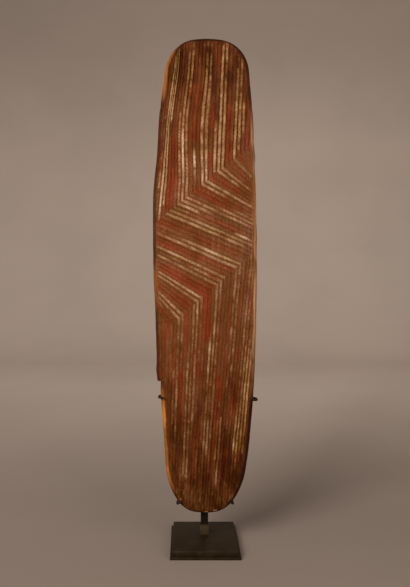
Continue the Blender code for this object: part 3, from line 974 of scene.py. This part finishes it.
def node(kind, inputs, *wanted, tree=None, **settings):
    """Add a node beside those that feed it; give its wanted outputs, or its first."""
    fed_by = [value.output.id_data for value in inputs.values() if isinstance(value, Value)]
    made = (tree or fed_by[0]).nodes.new("ShaderNode" + kind)
    for name, value in settings.items():
        setattr(made, name, value)
    for name, value in inputs.items():
        feed(made.inputs[name], value)
    values = [Value(made.outputs[name]) for name in wanted or (0,)]
    return values[0] if len(values) == 1 else values


def blend(share, first, second):
    """Mix two colours; share is how much there is of the second."""
    return node("Mix", {0: share, 6: first, 7: second}, 2, data_type="RGBA")


def tinted(first, second):
    """One colour multiplied by another."""
    inputs = {0: 1.0, 6: first, 7: second}
    return node("Mix", inputs, 2, data_type="RGBA", blend_type="MULTIPLY")


def arithmetic(operation, swapped=False):
    """Method that lets a sign, such as + or *, add a node of arithmetic."""
    def add_node(*values):
        values = values[::-1] if swapped else values
        return node("Math", dict(enumerate(values)), operation=operation)

    return add_node


class Value:
    """What a node puts out; arithmetic with it adds the next node of the chain."""

    __add__ = __radd__ = arithmetic("ADD")
    __sub__, __rsub__ = arithmetic("SUBTRACT"), arithmetic("SUBTRACT", swapped=True)
    __truediv__, __rtruediv__ = arithmetic("DIVIDE"), arithmetic("DIVIDE", swapped=True)
    __mul__, __pow__ = arithmetic("MULTIPLY"), arithmetic("POWER")
    __lt__, __abs__ = arithmetic("LESS_THAN"), arithmetic("ABSOLUTE")
    __round__ = arithmetic("ROUND")
    at_least, at_most = arithmetic("MAXIMUM"), arithmetic("MINIMUM")

    def __init__(self, output):
        self.output = output

    def fade(self, start, end, low=0.0, high=1.0):
        """Go smoothly from low to high while this goes from start to end."""
        ends = {"From Min": start, "From Max": end, "To Min": low, "To Max": high}
        return node("MapRange", {"Value": self, **ends}, interpolation_type="SMOOTHSTEP")

    def noise(self, scale, detail=3.0, roughness=0.55):
        """Cloudy noise from about 0.25 to 0.75 at this place; scale is per metre."""
        look = {"Scale": scale, "Detail": detail, "Roughness": roughness}
        return node("TexNoise", {"Vector": self, **look}, "Fac")

    def stretched(self, height):
        """This place with its height scaled, to draw a pattern out along the board."""
        return node("Mapping", {"Vector": self, "Scale": (1.0, 1.0, height)})

    def parts(self):
        """The x, y and z of this place."""
        return node("SeparateXYZ", {"Vector": self}, 0, 1, 2)


# %% Helpers for starting a group and a material
def new_group(name, inputs, outputs):
    """Shader node group; gives it, its inputs as values and its outputs to feed."""
    group = bpy.data.node_groups.new(name, "ShaderNodeTree")
    for direction, names in (("INPUT", inputs), ("OUTPUT", outputs)):
        for title in names:
            kind = "NodeSocketVector" if title == "Vector" else "NodeSocketFloat"
            group.interface.new_socket(name=title, in_out=direction, socket_type=kind)
    start = group.nodes.new("NodeGroupInput").outputs
    end = group.nodes.new("NodeGroupOutput").inputs
    return group, [Value(start[title]) for title in inputs], end


def new_material(name):
    """Material, its Principled shader, and the place of each point of its surface."""
    material = bpy.data.materials.new(name)
    material.use_nodes = True
    place = node("TexCoord", {}, "Object", tree=material.node_tree)
    return material, material.node_tree.nodes["Principled BSDF"], place


def add_relief(shader, relief, strength, distance):
    """Make a surface catch the light as if a relief stood on it."""
    bump = node("Bump", {"Strength": strength, "Distance": distance, "Height": relief})
    feed(shader.inputs["Normal"], bump)


# %% [markdown]
# ## Effects that the finishes share
# Wood and metal both carry wear and dust, and every wooden surface shows its grain.
# These are node groups, built once: "grain" gives long streaks and fine fibres
# that run up the board, and "age" gives rubbed patches, small scuffs and dust.

# %% Grain and age as node groups
GRAIN_STRETCH, FIBRE_FINENESS = 0.045, 4.2
AGE = (                     # (output, how fine, detail, roughness, where it starts, is whole)
    ("Rubbed", 1.0, 5.0, 0.6, 0.40, 0.62),
    ("Scuffs", 9.0, 2.0, 0.7, 0.60, 0.74),
    ("Dust", 2.7, 6.0, 0.7, 0.42, 0.72),
)

grain, (place, fineness), end = new_group("grain", ("Vector", "Fineness"), ("Streaks", "Fibres"))
lengthways = place.stretched(GRAIN_STRETCH)
streaks = lengthways.noise(fineness, 4.0, 0.62)
fibres = lengthways.noise(fineness * FIBRE_FINENESS, 2.0, 0.5)
feed(end["Streaks"], streaks.fade(0.32, 0.68))
feed(end["Fibres"], fibres.fade(0.35, 0.65))

marks = [mark[0] for mark in AGE]
age, (place, patch_size), end = new_group("age", ("Vector", "Patch Size"), marks)
patches = 1.0 / patch_size
for mark, finer, detail, roughness, start, whole in AGE:
    feed(end[mark], place.noise(patches * finer, detail, roughness).fade(start, whole))
print("node groups:", [group.name for group in bpy.data.node_groups])

# %% [markdown]
# ## Ochre and pipeclay
# The front was stained with red ochre, and pipeclay was rubbed into the hollows of
# some flutes, two or three side by side.  Some lines stop part way, and others have
# worn off there.  Each entry below names a flute, how strongly it is painted, and
# from where to where: in millimetres up the board for the long flutes above and
# below the mitres, and in millimetres across it, from the centre line, for the
# slanting flutes between them.  The clay is thickest in a few short stretches, and
# the red is still fresh in others, so these have lists of their own.

# %% Colours
RED_OCHRE = colour(130, 57, 30)
BROWN_OCHRE = colour(115, 69, 39)
DARK_RIDGE = colour(58, 22, 6)
DARK_RIM = colour(40, 20, 8)
PIPECLAY = colour(183, 141, 98)
OLIVE_CLAY = colour(160, 130, 92)
GOLDEN_CLAY = colour(190, 148, 96)
THICK_PIPECLAY = colour(212, 180, 138)
RAW_WOOD = colour(200, 124, 52)
PALE_WOOD = colour(208, 164, 120)
BACK_WOOD = colour(98, 60, 36)
WOOD_STREAK = colour(154, 90, 42)
BACK_STAIN = colour(72, 36, 20)
RUBBED_BACK = colour(124, 62, 34)
PIT_PAINTED_SHADE = colour(30, 14, 6)

# %% Painted flutes
PIPECLAY_LINES = {          # zone: (flute, strength, from, to) for each painted flute
    1: (
        (-2, 0.35, 500, 640), (-1, 0.62, 465, 735), (0, 0.82, 500, 748), (1, 0.66, 625, 748),
        (4, 0.60, 490, 650), (5, 0.74, 495, 738), (6, 0.62, 500, 738), (8, 0.55, 540, 590),
        (10, 0.74, 520, 738), (11, 0.66, 525, 738), (13, 0.62, 550, 640), (14, 0.90, 540, 750),
        (15, 0.76, 545, 750), (18, 0.72, 560, 715), (19, 0.66, 585, 735), (20, 0.55, 610, 665),
    ),
    2: (
        (-20, 0.40, -90, -60), (-19, 0.70, -90, -28), (-18, 0.58, -90, -24), (-14, 0.60, -90, -2),
        (-13, 0.75, -78, 6), (-9, 0.64, -90, 34), (-8, 0.55, -66, 42), (-7, 0.75, -90, 48),
        (-4, 0.70, -90, 62), (-3, 0.78, -40, 68), (1, 0.88, -80, 62), (2, 0.88, -70, 90),
        (3, 0.45, -58, 20), (4, 0.62, -56, -8), (5, 0.74, -52, 10), (6, 0.72, -48, 90),
        (7, 0.68, 22, 90), (8, 0.58, 46, 90), (10, 0.72, -26, 34), (11, 0.82, -22, 90),
        (14, 0.62, 4, 56), (15, 0.68, 10, 72), (18, 0.58, 30, 84),
    ),
    3: (
        (-20, 0.45, 145, 240), (-19, 0.52, 108, 345), (-18, 0.36, 240, 345), (-16, 0.58, 50, 250),
        (-15, 0.48, 56, 360), (-14, 0.50, 130, 365), (-13, 0.30, 262, 370), (-12, 0.34, 50, 110),
        (-10, 0.56, 62, 292), (-9, 0.50, 96, 398), (-8, 0.40, 58, 400), (-6, 0.46, 90, 185),
        (-5, 0.52, 46, 165), (-4, 0.40, 208, 420), (-3, 0.38, 220, 424), (0, 0.42, 76, 440),
        (1, 0.50, 70, 448), (2, 0.50, 96, 290), (3, 0.60, 100, 272),
    ),
}
THICK_CLAY = {
    1: (
        (-1, 0.7, 482, 720), (0, 1.0, 560, 742), (1, 0.8, 630, 742), (5, 0.8, 560, 618),
        (8, 0.7, 558, 582), (10, 0.6, 560, 612), (13, 0.6, 558, 600), (14, 0.6, 600, 706),
        (15, 0.7, 630, 652), (18, 0.7, 580, 662), (20, 0.8, 628, 656),
    ),
    2: (
        (-13, 0.3, -74, -20), (-7, 0.5, -58, -34), (-3, 0.7, -2, 42), (1, 0.5, -46, 14),
        (2, 0.6, -10, 16), (3, 1.0, 46, 84), (4, 0.4, -32, -20), (11, 0.7, 2, 14),
    ),
    3: (
        (-16, 0.7, 58, 116), (-14, 1.0, 318, 352), (-10, 0.9, 234, 282),
        (-9, 0.5, 292, 330), (-8, 0.7, 362, 385), (-5, 0.5, 56, 84), (0, 0.8, 104, 150),
        (1, 0.8, 98, 150), (2, 0.5, 118, 255), (3, 0.6, 150, 250),
    ),
}
RED_LINES = {
    1: (
        (-3, 0.4, 500, 640), (1, 0.8, 495, 605), (2, 0.9, 490, 612), (3, 0.5, 530, 690),
        (7, 0.5, 600, 690), (8, 0.7, 600, 690), (9, 0.5, 600, 680), (12, 0.6, 555, 655),
        (16, 0.7, 565, 650), (17, 0.6, 565, 650), (21, 0.8, 590, 665), (22, 0.8, 590, 665),
    ),
    2: (
        (-17, 0.5, -82, 0), (-16, 0.6, -82, 0), (-15, 0.5, -60, 0), (-12, 0.8, -70, 12),
        (-11, 0.8, -70, 20), (-10, 0.5, -50, 20), (-6, 0.6, -82, 40), (-5, 0.6, -82, 50),
        (-2, 0.5, -82, 60), (-1, 0.6, -82, 60), (3, 0.6, -10, 44), (4, 0.6, -4, 60),
        (8, 0.5, -30, 46), (9, 0.6, -30, 60), (12, 0.7, 8, 50), (13, 0.7, 14, 56),
        (19, 0.5, 46, 84),
    ),
    3: (
        (-23, 0.4, 225, 300), (-22, 0.4, 225, 300), (-18, 0.7, 146, 236), (-17, 0.5, 256, 328),
        (-13, 0.6, 56, 164), (-12, 0.8, 286, 362), (-11, 0.9, 280, 365), (-10, 0.5, 284, 322),
        (-7, 0.9, 56, 228), (-6, 0.8, 140, 226), (-3, 1.0, 50, 128), (-1, 0.6, 168, 275),
        (4, 0.4, 88, 165),
    ),
}
for lines in (PIPECLAY_LINES, THICK_CLAY, RED_LINES):
    print([len(painted) for painted in lines.values()], "painted stretches, zone by zone")

# %% Reading the painted flutes
BARE = (0, 0, 0, 1)
PAINT_END = (-0.005, 0.007)     # metres over which a painted stretch begins or ends
LEFTMOST = -0.1                 # places across are counted from here, to stay above 0


def by_flute(painted, number, along, start):
    """Strength of the paint in one zone; along is measured from start, in metres."""
    low, high = FLUTES[0], FLUTES[-1] + 1
    share = node("MapRange", {"Value": number, "From Min": float(low), "From Max": float(high)})
    ramp = node("ValToRGB", {0: share})
    steps = ramp.output.node.color_ramp
    steps.interpolation = "CONSTANT"
    stops = steps.elements
    stops.remove(stops[1])
    stops[0].color = BARE
    painted_flutes = {entry[0] for entry in painted}
    for flute, strength, first, last in painted:
        stop = stops.new((flute - 0.5 - low) / (high - low))
        stop.color = (strength, first / 1000 - start, last / 1000 - start, 1)
        if flute + 1 not in painted_flutes:
            stops.new((flute + 0.5 - low) / (high - low)).color = BARE
    strength, first, last = node("SeparateColor", {"Color": ramp}, 0, 1, 2)
    return strength * (along - first).fade(*PAINT_END) * (last - along).fade(*PAINT_END)


def painted_in(lines, number, high_place, across_place):
    """Strength of the paint from the lists of the three zones together."""
    up, across = high_place - SHIELD_LIFT, across_place - LEFTMOST
    total = 0.0
    for zone, painted in lines.items():
        in_zone = number - float(ZONE_STEP * (zone - 2))
        along, start = (across, LEFTMOST) if zone == 2 else (up, 0.0)
        total += by_flute(painted, in_zone, along, start)
    return total


# %% [markdown]
# ## The shield's finish
# The paint follows the flutes through the UV map: its first value is the flute's
# number and its second how far along the flute a place is.  Pipeclay stays only down
# in the hollows and is broken into short dashes, because every push of the gouge left
# a small step.  The ridges between are dark with handling, and partly with painted
# shade, strongest on the upright flutes whose walls turn from the light.  Fine grain runs
# up the board through everything, and soot and grease have darkened both ends.

# %% What the shield's finish reads
GRAIN_FINENESS, PATCH_SIZE = 330.0, 0.045
RAGGED = (420.0, 2.0)               # noise, as (scale, detail, roughness)
LINE_WAVER = 0.42                   # how far a painted line strays, in flute widths

ochre_and_clay, shader, place = new_material("ochre_and_pipeclay")
tree = ochre_and_clay.node_tree
across_place, deep_place, high_place = place.parts()
number, along = node("UVMap", {}, tree=tree, uv_map="flutes").parts()[:2]
carved, inside_rim, bare_rim = (
    node("Attribute", {}, "Fac", tree=tree, attribute_name=fact) for fact in FACTS
)
wood = {"Vector": place, "Fineness": GRAIN_FINENESS}
streaks, fibres = node("Group", wood, "Streaks", "Fibres", node_tree=grain)
wear = {"Vector": place, "Patch Size": PATCH_SIZE}
rubbed = node("Group", wear, "Rubbed", node_tree=age)

upper = number < -ZONE_STEP / 2
ragged = place.noise(*RAGGED) - 0.5
wavering = ragged * LINE_WAVER + number
flute = round(wavering)
from_hollow = abs(wavering - flute)


def along_flutes(row, rate, layer, detail, roughness):
    """Noise that runs along each flute and differs from one flute to the next."""
    place = node("CombineXYZ", {"X": flute * row, "Y": along * rate, "Z": layer})
    return place.noise(1.0, detail, roughness)


# %% Pipeclay in the hollows
DASHES, MORE_DASHES = 30.0, 34.0    # per metre, and how many more above the mitres
BEADS, BEADING, MORE_BEADING = 330.0, 0.28, 0.14
CLAY_WIDTH = (0.40, 0.13)           # from the hollow: where clay ends, and where it is whole
SCRATCH_WIDTH = (0.0030, 0.0008)    # of a pale scratch up the middle of the board
SCRATCH_WAVER = 0.006
SCRATCH_HEIGHTS = ((0.36, 0.375), (0.56, 0.44))
TOP_BAND, LOW_BAND = (0.755, 0.772), (0.078, 0.068, 0.0, 0.45)

dashes = along_flutes(13.7, upper * MORE_DASHES + DASHES, 0.0, 3.0, 0.65)
beads = along_flutes(13.7, BEADS, 0.0, 2.0, 0.5)
clay_strength = painted_in(PIPECLAY_LINES, wavering, high_place, across_place)
thick = painted_in(THICK_CLAY, wavering, high_place, across_place)
scratched = abs(ragged * SCRATCH_WAVER + across_place).fade(*SCRATCH_WIDTH)
for heights in SCRATCH_HEIGHTS:
    scratched *= high_place.fade(*heights)
clay_left = clay_strength * 0.46 + dashes + thick * 0.22 + scratched * 0.20
clay_left += (beads - 0.5) * (upper * MORE_BEADING + BEADING)
clay = clay_left.fade(0.54, 0.90) * from_hollow.fade(*CLAY_WIDTH)
clay *= (clay_strength + thick).fade(0.0, 0.3)

at_an_end = high_place.fade(*TOP_BAND).at_least(high_place.fade(*LOW_BAND))
near_rim = inside_rim.fade(0.20, 0.40) * inside_rim.fade(1.0, 0.75)
caught = dashes.fade(0.46, 0.62) * from_hollow.fade(0.42, 0.20) * near_rim * at_an_end
clay = clay.at_least(caught) * carved.fade(0.35, 0.9)

# %% [markdown]
# ## Ochre, soot and powdered clay
# The red ochre has turned brown in most flutes.  Handling and smoke have darkened the
# board towards its ends, in clouds, blotches and streaks of soot.  The right half of the
# board above the upper mitre also gets a painted shade, being the side turned from the
# light, and all of these multiply one shade.  Clay that was rubbed off left a pale haze
# over the middle and flecks at the lower end, and what sits thick in a hollow is whiter
# than a thin film.

# %% Ochre and its shade
OCHRE_STREAKS, FLUTE_TONES = (7.9, 14.0, 5.0, 3.0, 0.6), (5.3, 9.0, 11.0, 4.0, 0.6)
LOWER_DARK, UPPER_DARK = (0.40, 0.12), (0.60, 0.80)     # heights, light to dark
BLOTCHES, CLOUDS = (52.0, 5.0, 0.62), (26.0, 5.0, 0.6)
SPECKLES, SOOT = (560.0, 2.0, 0.6), (150.0, 3.0, 0.6)
RIGHT_HALF, RIGHT_PAINTED_SHADE = (-0.02, 0.02), 0.93
FULL_SHADE, GREEN_LOSS, BLUE_LOSS = 0.93, 0.35, 1.50    # a darker shade is also redder

redness = painted_in(RED_LINES, wavering, high_place, across_place) * 0.36
redness += along_flutes(*OCHRE_STREAKS) + (streaks - 0.5) * 0.34
ochre = blend(redness.fade(0.36, 0.95), BROWN_OCHRE, RED_OCHRE)
darkened = high_place.fade(*LOWER_DARK).at_least(high_place.fade(*UPPER_DARK))
blotched = place.stretched(0.4).noise(*BLOTCHES).fade(0.34, 0.62, 0.72, 0.32)
blotched *= darkened * clay.fade(0.0, 1.0, 1.0, 0.74)
soot = place.stretched(0.14).noise(*SOOT).fade(0.32, 0.68, -0.30, 0.30)

shade = place.noise(*CLOUDS).fade(0.3, 0.7, 0.80, 1.12)
shade *= fibres.fade(0.0, 1.0, 0.82, 1.12)
shade *= along_flutes(*FLUTE_TONES).fade(0.3, 0.7, 0.84, 1.14)
shade *= place.stretched(0.7).noise(*SPECKLES).fade(0.3, 0.7, 0.80, 1.20)
shade *= (1.0 - blotched) * (darkened * soot + 1.0)
# Painted shade: the right half of the board above the upper mitre, the side turned from the
# light, is darkened.
shade *= (upper * across_place.fade(*RIGHT_HALF)).fade(0.0, 1.0, 1.0, RIGHT_PAINTED_SHADE)
green = shade * (shade / FULL_SHADE) ** GREEN_LOSS
blue = shade * (shade / FULL_SHADE) ** BLUE_LOSS
shade_colour = node("CombineColor", {"Red": shade, "Green": green, "Blue": blue})

# %% Dark ridges, and clay over the ochre
PARTS = {                   # name: (limits in height, limits across), from nothing to whole
    "olive clay": ((0.40, 0.28), (0.03, -0.02)),
    "golden clay": ((0.37, 0.28), (0.03, 0.055)),
    "hazy middle": ((0.40, 0.48), (-0.06, 0.02, 0.4, 1.0)),
    "powdered end": ((0.108, 0.078), (0.04, -0.02, 0.5, 1.3)),
    "flecked end": ((0.150, 0.095, 0.0, 0.42), (0.02, -0.035, 1.0, 1.6)),
    # painted shade on the lower right rim, the side turned from the light
    "shaded lower right rim": ((0.27, 0.23), (0.0, 0.05)),
}
HAZE_TOP = (0.58, 0.52)
CLAY_COVER = (0.20, 0.46, 0.58, 0.52)   # how well the clay covers, low and high up
CAKES, FLECKS = (62.0, 3.0, 0.62), (230.0, 2.0, 0.5)


def part(name):
    """1 in a part of the board and 0 outside it, with soft limits."""
    heights, across = PARTS[name]
    return high_place.fade(*heights) * across_place.fade(*across)


# Dark ridges, partly handling and partly painted shade: strongest above the upper mitre and
# towards the ends, where the upright flute walls turn from the light.
ridge = from_hollow.fade(0.33, 0.47) * carved.fade(0.2, 0.9)
ridge *= rubbed.fade(0.0, 1.0, 0.78, 0.34) * (upper * 0.46 + darkened * 0.38 + 0.20)
front = blend(ridge, ochre, DARK_RIDGE)
powdered = (part("hazy middle") * high_place.fade(*HAZE_TOP)).at_least(part("powdered end"))
powdered *= streaks.fade(0.2, 0.8, 0.01, 0.17)
flecks = place.stretched(0.4).noise(*FLECKS).fade(0.55, 0.68) * part("flecked end")
front = blend(powdered.at_least(flecks), front, OLIVE_CLAY)

clay_colour = blend(part("olive clay"), PIPECLAY, OLIVE_CLAY)
clay_colour = blend(part("golden clay"), clay_colour, GOLDEN_CLAY)
clay_colour = blend(thick * 0.35, clay_colour, THICK_PIPECLAY)
thickness = upper * 0.14 + high_place.fade(*CLAY_COVER) + thick * 0.20
thickness *= place.noise(*CAKES).fade(0.36, 0.64, 0.66, 1.42)
front = blend(clay * thickness.at_most(1.0), front, clay_colour)
front = tinted(front, shade_colour)

# %% [markdown]
# ## The back, the rim and the small scars
# The back was never painted and is stained brown.  Along the rim the ochre ends in a
# thin dark line, or in bare wood where the edge has been rubbed; low on the right and
# along the top the rim also carries a painted shade, being turned from the light.  A few
# nicks at the lower tip and on the chip show fresh wood, and one small pit is a spot of
# painted shade, as it is not carved.

# %% Back, rim and scars
FRONT_DEPTH = 0.004         # the front's paint fades out over this depth from the middle
TOP_RIM_SHADE, BARE_TINT = (0.785, 0.805), (-0.02, 0.03)
NICKS = (                   # (x, height above the tip, half width, half height) of bare wood
    (0.0165, 0.0062, 0.0034, 0.0011), (0.0010, 0.0040, 0.0036, 0.0010),
    (-0.0395, 0.0235, 0.0012, 0.0020), (-0.0775, 0.2160, 0.0012, 0.0020),
)
PIT_PLACE, PIT_SIZE = (-0.031, 0.0, SHIELD_LIFT + 0.5616), (0.0016, 0.0008)

back = blend(streaks, BACK_STAIN, BACK_WOOD)
back = blend(rubbed * 0.35, back, RUBBED_BACK)
on_front = deep_place.fade(middle_y, middle_y - FRONT_DEPTH)
body = blend(on_front, back, front)
# Painted shade along the rim, low on the right and along the top where it turns from the light; a
# thin dark line runs round all of the rim.
shaded_rim = part("shaded lower right rim").at_least(high_place.fade(*TOP_RIM_SHADE))
rim_painted_shade = inside_rim.fade(0.30, 0.05) * shaded_rim * 0.85
rim_line_and_shade = (inside_rim.fade(0.12, 0.02) * 0.6).at_least(rim_painted_shade)
body = blend(rim_line_and_shade * (1.0 - bare_rim), body, DARK_RIM)

golden = inside_rim.fade(1.0, 0.2) * bare_rim * streaks * 0.20
bare = ((rubbed - 0.5) * 0.16 + inside_rim).fade(0.14, 0.02) * bare_rim
bare = bare.at_least(golden)
for x, height, half_width, half_height in NICKS:
    aside = (across_place - x) / half_width
    above = (high_place - (SHIELD_LIFT + height)) / half_height
    from_nick = aside ** 2.0 + above ** 2.0 + ragged * 1.6
    bare = bare.at_least(from_nick.fade(1.4, 0.7, 0.0, 0.75))
bare_wood = blend(across_place.fade(*BARE_TINT), RAW_WOOD, PALE_WOOD)
body = blend(bare, body, blend(streaks, WOOD_STREAK, bare_wood))
flat_place = node("CombineXYZ", {"X": across_place, "Z": high_place})
from_pit = node("VectorMath", {0: flat_place, 1: PIT_PLACE}, "Value", operation="DISTANCE")
# Painted shade of a small pit in the front, which is not carved.
body = blend(from_pit.fade(*PIT_SIZE) * on_front, body, PIT_PAINTED_SHADE)
feed(shader.inputs["Base Color"], body)

# %% Sheen and fine relief of the wood
WOOD_SHEEN, WOOD_RELIEF, WOOD_RELIEF_DEPTH = 0.06, 0.40, 0.0004
OCHRE_ROUGHNESS, CLAY_ROUGHNESS, RIDGE_POLISH = 0.72, 0.88, 0.12
PORES = (900.0, 3.0)

roughness = clay.fade(0.0, 1.0, OCHRE_ROUGHNESS, CLAY_ROUGHNESS) - ridge * RIDGE_POLISH
feed(shader.inputs["Roughness"], roughness)
shader.inputs["Specular IOR Level"].default_value = WOOD_SHEEN
relief = fibres * 0.45 + streaks + place.noise(*PORES) * 0.8 + clay * 0.30
add_relief(shader, relief, WOOD_RELIEF, WOOD_RELIEF_DEPTH)
print("the shield's finish has", len(tree.nodes), "nodes")

# %% [markdown]
# ## Blackened steel
# The stand is steel with a black finish.  The base is waxed smooth and shines a
# little.  The post, its socket and the hooks are duller, rubbed at their edges, and
# browner near their foot, where the wax has worn.  All of it has caught a film of dust.

# %% The stand's two finishes
SCUFFED, WORN_FOOT, DUST = colour(70, 58, 46), colour(74, 60, 40), colour(120, 108, 94)
FOOT_HEIGHTS = (0.031, 0.029)
STEEL_SHEEN, STEEL_RELIEF, STEEL_RELIEF_DEPTH = 0.12, 0.18, 0.0002
STEEL_GRIT, DUST_ROUGHNESS = (1400.0, 2.0), 0.16


def blackened(name, tone, rubbed_tone, roughness, patch, foot):
    """Black finish on steel, with rubbed patches, a worn foot and dust."""
    material, shader, place = new_material(name)
    wear = {"Vector": place, "Patch Size": patch}
    rubbed, scuffs, dust = node("Group", wear, "Rubbed", "Scuffs", "Dust", node_tree=age)
    height = place.parts()[2]
    skin = blend(rubbed * 0.6, tone, rubbed_tone)
    skin = blend(scuffs * 0.35, skin, SCUFFED)
    skin = blend(height.fade(*FOOT_HEIGHTS, 0.0, foot), skin, WORN_FOOT)
    feed(shader.inputs["Base Color"], blend(dust * 0.06, skin, DUST))
    patchy = dust.fade(0.0, 1.0, roughness, roughness + DUST_ROUGHNESS)
    feed(shader.inputs["Roughness"], patchy)
    shader.inputs["Specular IOR Level"].default_value = STEEL_SHEEN
    add_relief(shader, place.noise(*STEEL_GRIT), STEEL_RELIEF, STEEL_RELIEF_DEPTH)
    return material


BASE_TONES = (colour(39, 29, 15), colour(45, 34, 20))
ROD_TONES = (colour(28, 20, 10), colour(38, 28, 16))
FINISHES = {
    "ochred_wood": ochre_and_clay,
    "black_base": blackened("waxed_black", *BASE_TONES, roughness=0.44, patch=0.035, foot=0.0),
    "black_rod": blackened("dull_black", *ROD_TONES, roughness=0.52, patch=0.010, foot=0.68),
}
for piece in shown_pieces():
    piece.data.materials.clear()
    piece.data.materials.append(FINISHES[piece["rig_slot"]])
    print(piece.name, "is finished in", piece.data.materials[0].name)

# %% [markdown]
# ## Floor, lights and camera
# A pale sweep of paper runs under the stand and up behind it, so there is no
# horizon.  Light is painted into its colour: a painted shade darkens it under the stand
# and high up, and a painted pool of light makes it palest behind the board and brighter
# to the right, so that both stand clear of it.  A large soft light stands to the left in
# front, a weaker one fills from the right, and one from above keeps the base apart from
# the floor.  The camera looks straight ahead and slightly down, and its picture is
# shifted sideways, which moves the shield in the frame and keeps the base level.

# %% Floor and backdrop
SWEEP_SIZE, SWEEP_START, SWEEP_RISE, SWEEP_ROUND = 8.0, (0, -1.2, 0), 4.5, 1.1
SHADED_PAPER, LIT_PAPER = colour(132, 115, 103), colour(202, 183, 167)
PAPER_CLOUDS, PAPER_ROUGHNESS = (1.6, 3.0), 0.9
PAINTED_LIGHT_AWAY, PAINTED_LIGHT_UP = (0.02, 1.36), (2.0, 0.9, 0.56, 1.0)
PAINTED_LIGHT_ACROSS = (-0.9, 0.8, 0.86, 1.10)

add_plane = bpy.ops.mesh.primitive_plane_add
sweep = start_piece("paper_sweep", add_plane, size=SWEEP_SIZE, location=SWEEP_START)
start_editing()
pick(sweep, "edges", lambda edge: middle_of(edge).y > 2)
bpy.ops.mesh.extrude_region_move(TRANSFORM_OT_translate={"value": (0, 0, SWEEP_RISE)})
bevel(sweep, lambda edge: len(edge.link_faces) == 2, SWEEP_ROUND, segments=24)
stop_editing()
bpy.ops.object.shade_smooth()
paper, shader, place = new_material("grey_paper")
sideways, away, up = place.parts()
# Painted light on the paper: painted shade near the stand and high up, a painted pool of light
# behind the board, brighter to the right.
lit = away.fade(*PAINTED_LIGHT_AWAY) * up.fade(*PAINTED_LIGHT_UP) * sideways.fade(*PAINTED_LIGHT_ACROSS)
cloudy = place.noise(*PAPER_CLOUDS).fade(0.3, 0.7, 0.96, 1.04)
evenness = node("CombineColor", {"Red": cloudy, "Green": cloudy, "Blue": cloudy})
feed(shader.inputs["Base Color"], tinted(blend(lit, SHADED_PAPER, LIT_PAPER), evenness))
shader.inputs["Roughness"].default_value = PAPER_ROUGHNESS
sweep.data.materials.append(paper)

# %% Lights and camera
AIM = Vector((0, 0, 0.42))
LIGHTS = (                  # (name, place, size, power)
    ("key", (-1.5, -1.7, 1.7), 1.2, 62.0),
    ("fill", (1.7, -1.5, 0.9), 1.6, 22.0),
    ("top", (0.1, 0.3, 2.4), 1.2, 3.0),
)
ROOM_LIGHT, ROOM_STRENGTH = (0.60, 0.55, 0.50, 1), 0.45
LENS, CAMERA_PLACE, LOOKING_DOWN, SHIFT = 35, (-0.032, -0.926, 0.464), 3, 0.0336

for name, spot, size, power in LIGHTS:
    lamp = bpy.data.objects.new(name, bpy.data.lights.new(name, "AREA"))
    lamp.data.energy = power
    lamp.data.size = size
    lamp.location = spot
    lamp.rotation_euler = (AIM - lamp.location).to_track_quat("-Z", "Y").to_euler()
    bpy.context.scene.collection.objects.link(lamp)

world = bpy.data.worlds.new("studio")
world.use_nodes = True
world.node_tree.nodes["Background"].inputs["Color"].default_value = ROOM_LIGHT
world.node_tree.nodes["Background"].inputs["Strength"].default_value = ROOM_STRENGTH
bpy.context.scene.world = world
bpy.context.scene.view_settings.view_transform = "Standard"

camera = bpy.data.objects.new("camera", bpy.data.cameras.new("camera"))
camera.data.lens = LENS
camera.data.shift_x = SHIFT
camera.location = CAMERA_PLACE
camera.rotation_euler = (math.radians(90 - LOOKING_DOWN), 0, 0)
bpy.context.scene.collection.objects.link(camera)
bpy.context.scene.camera = camera
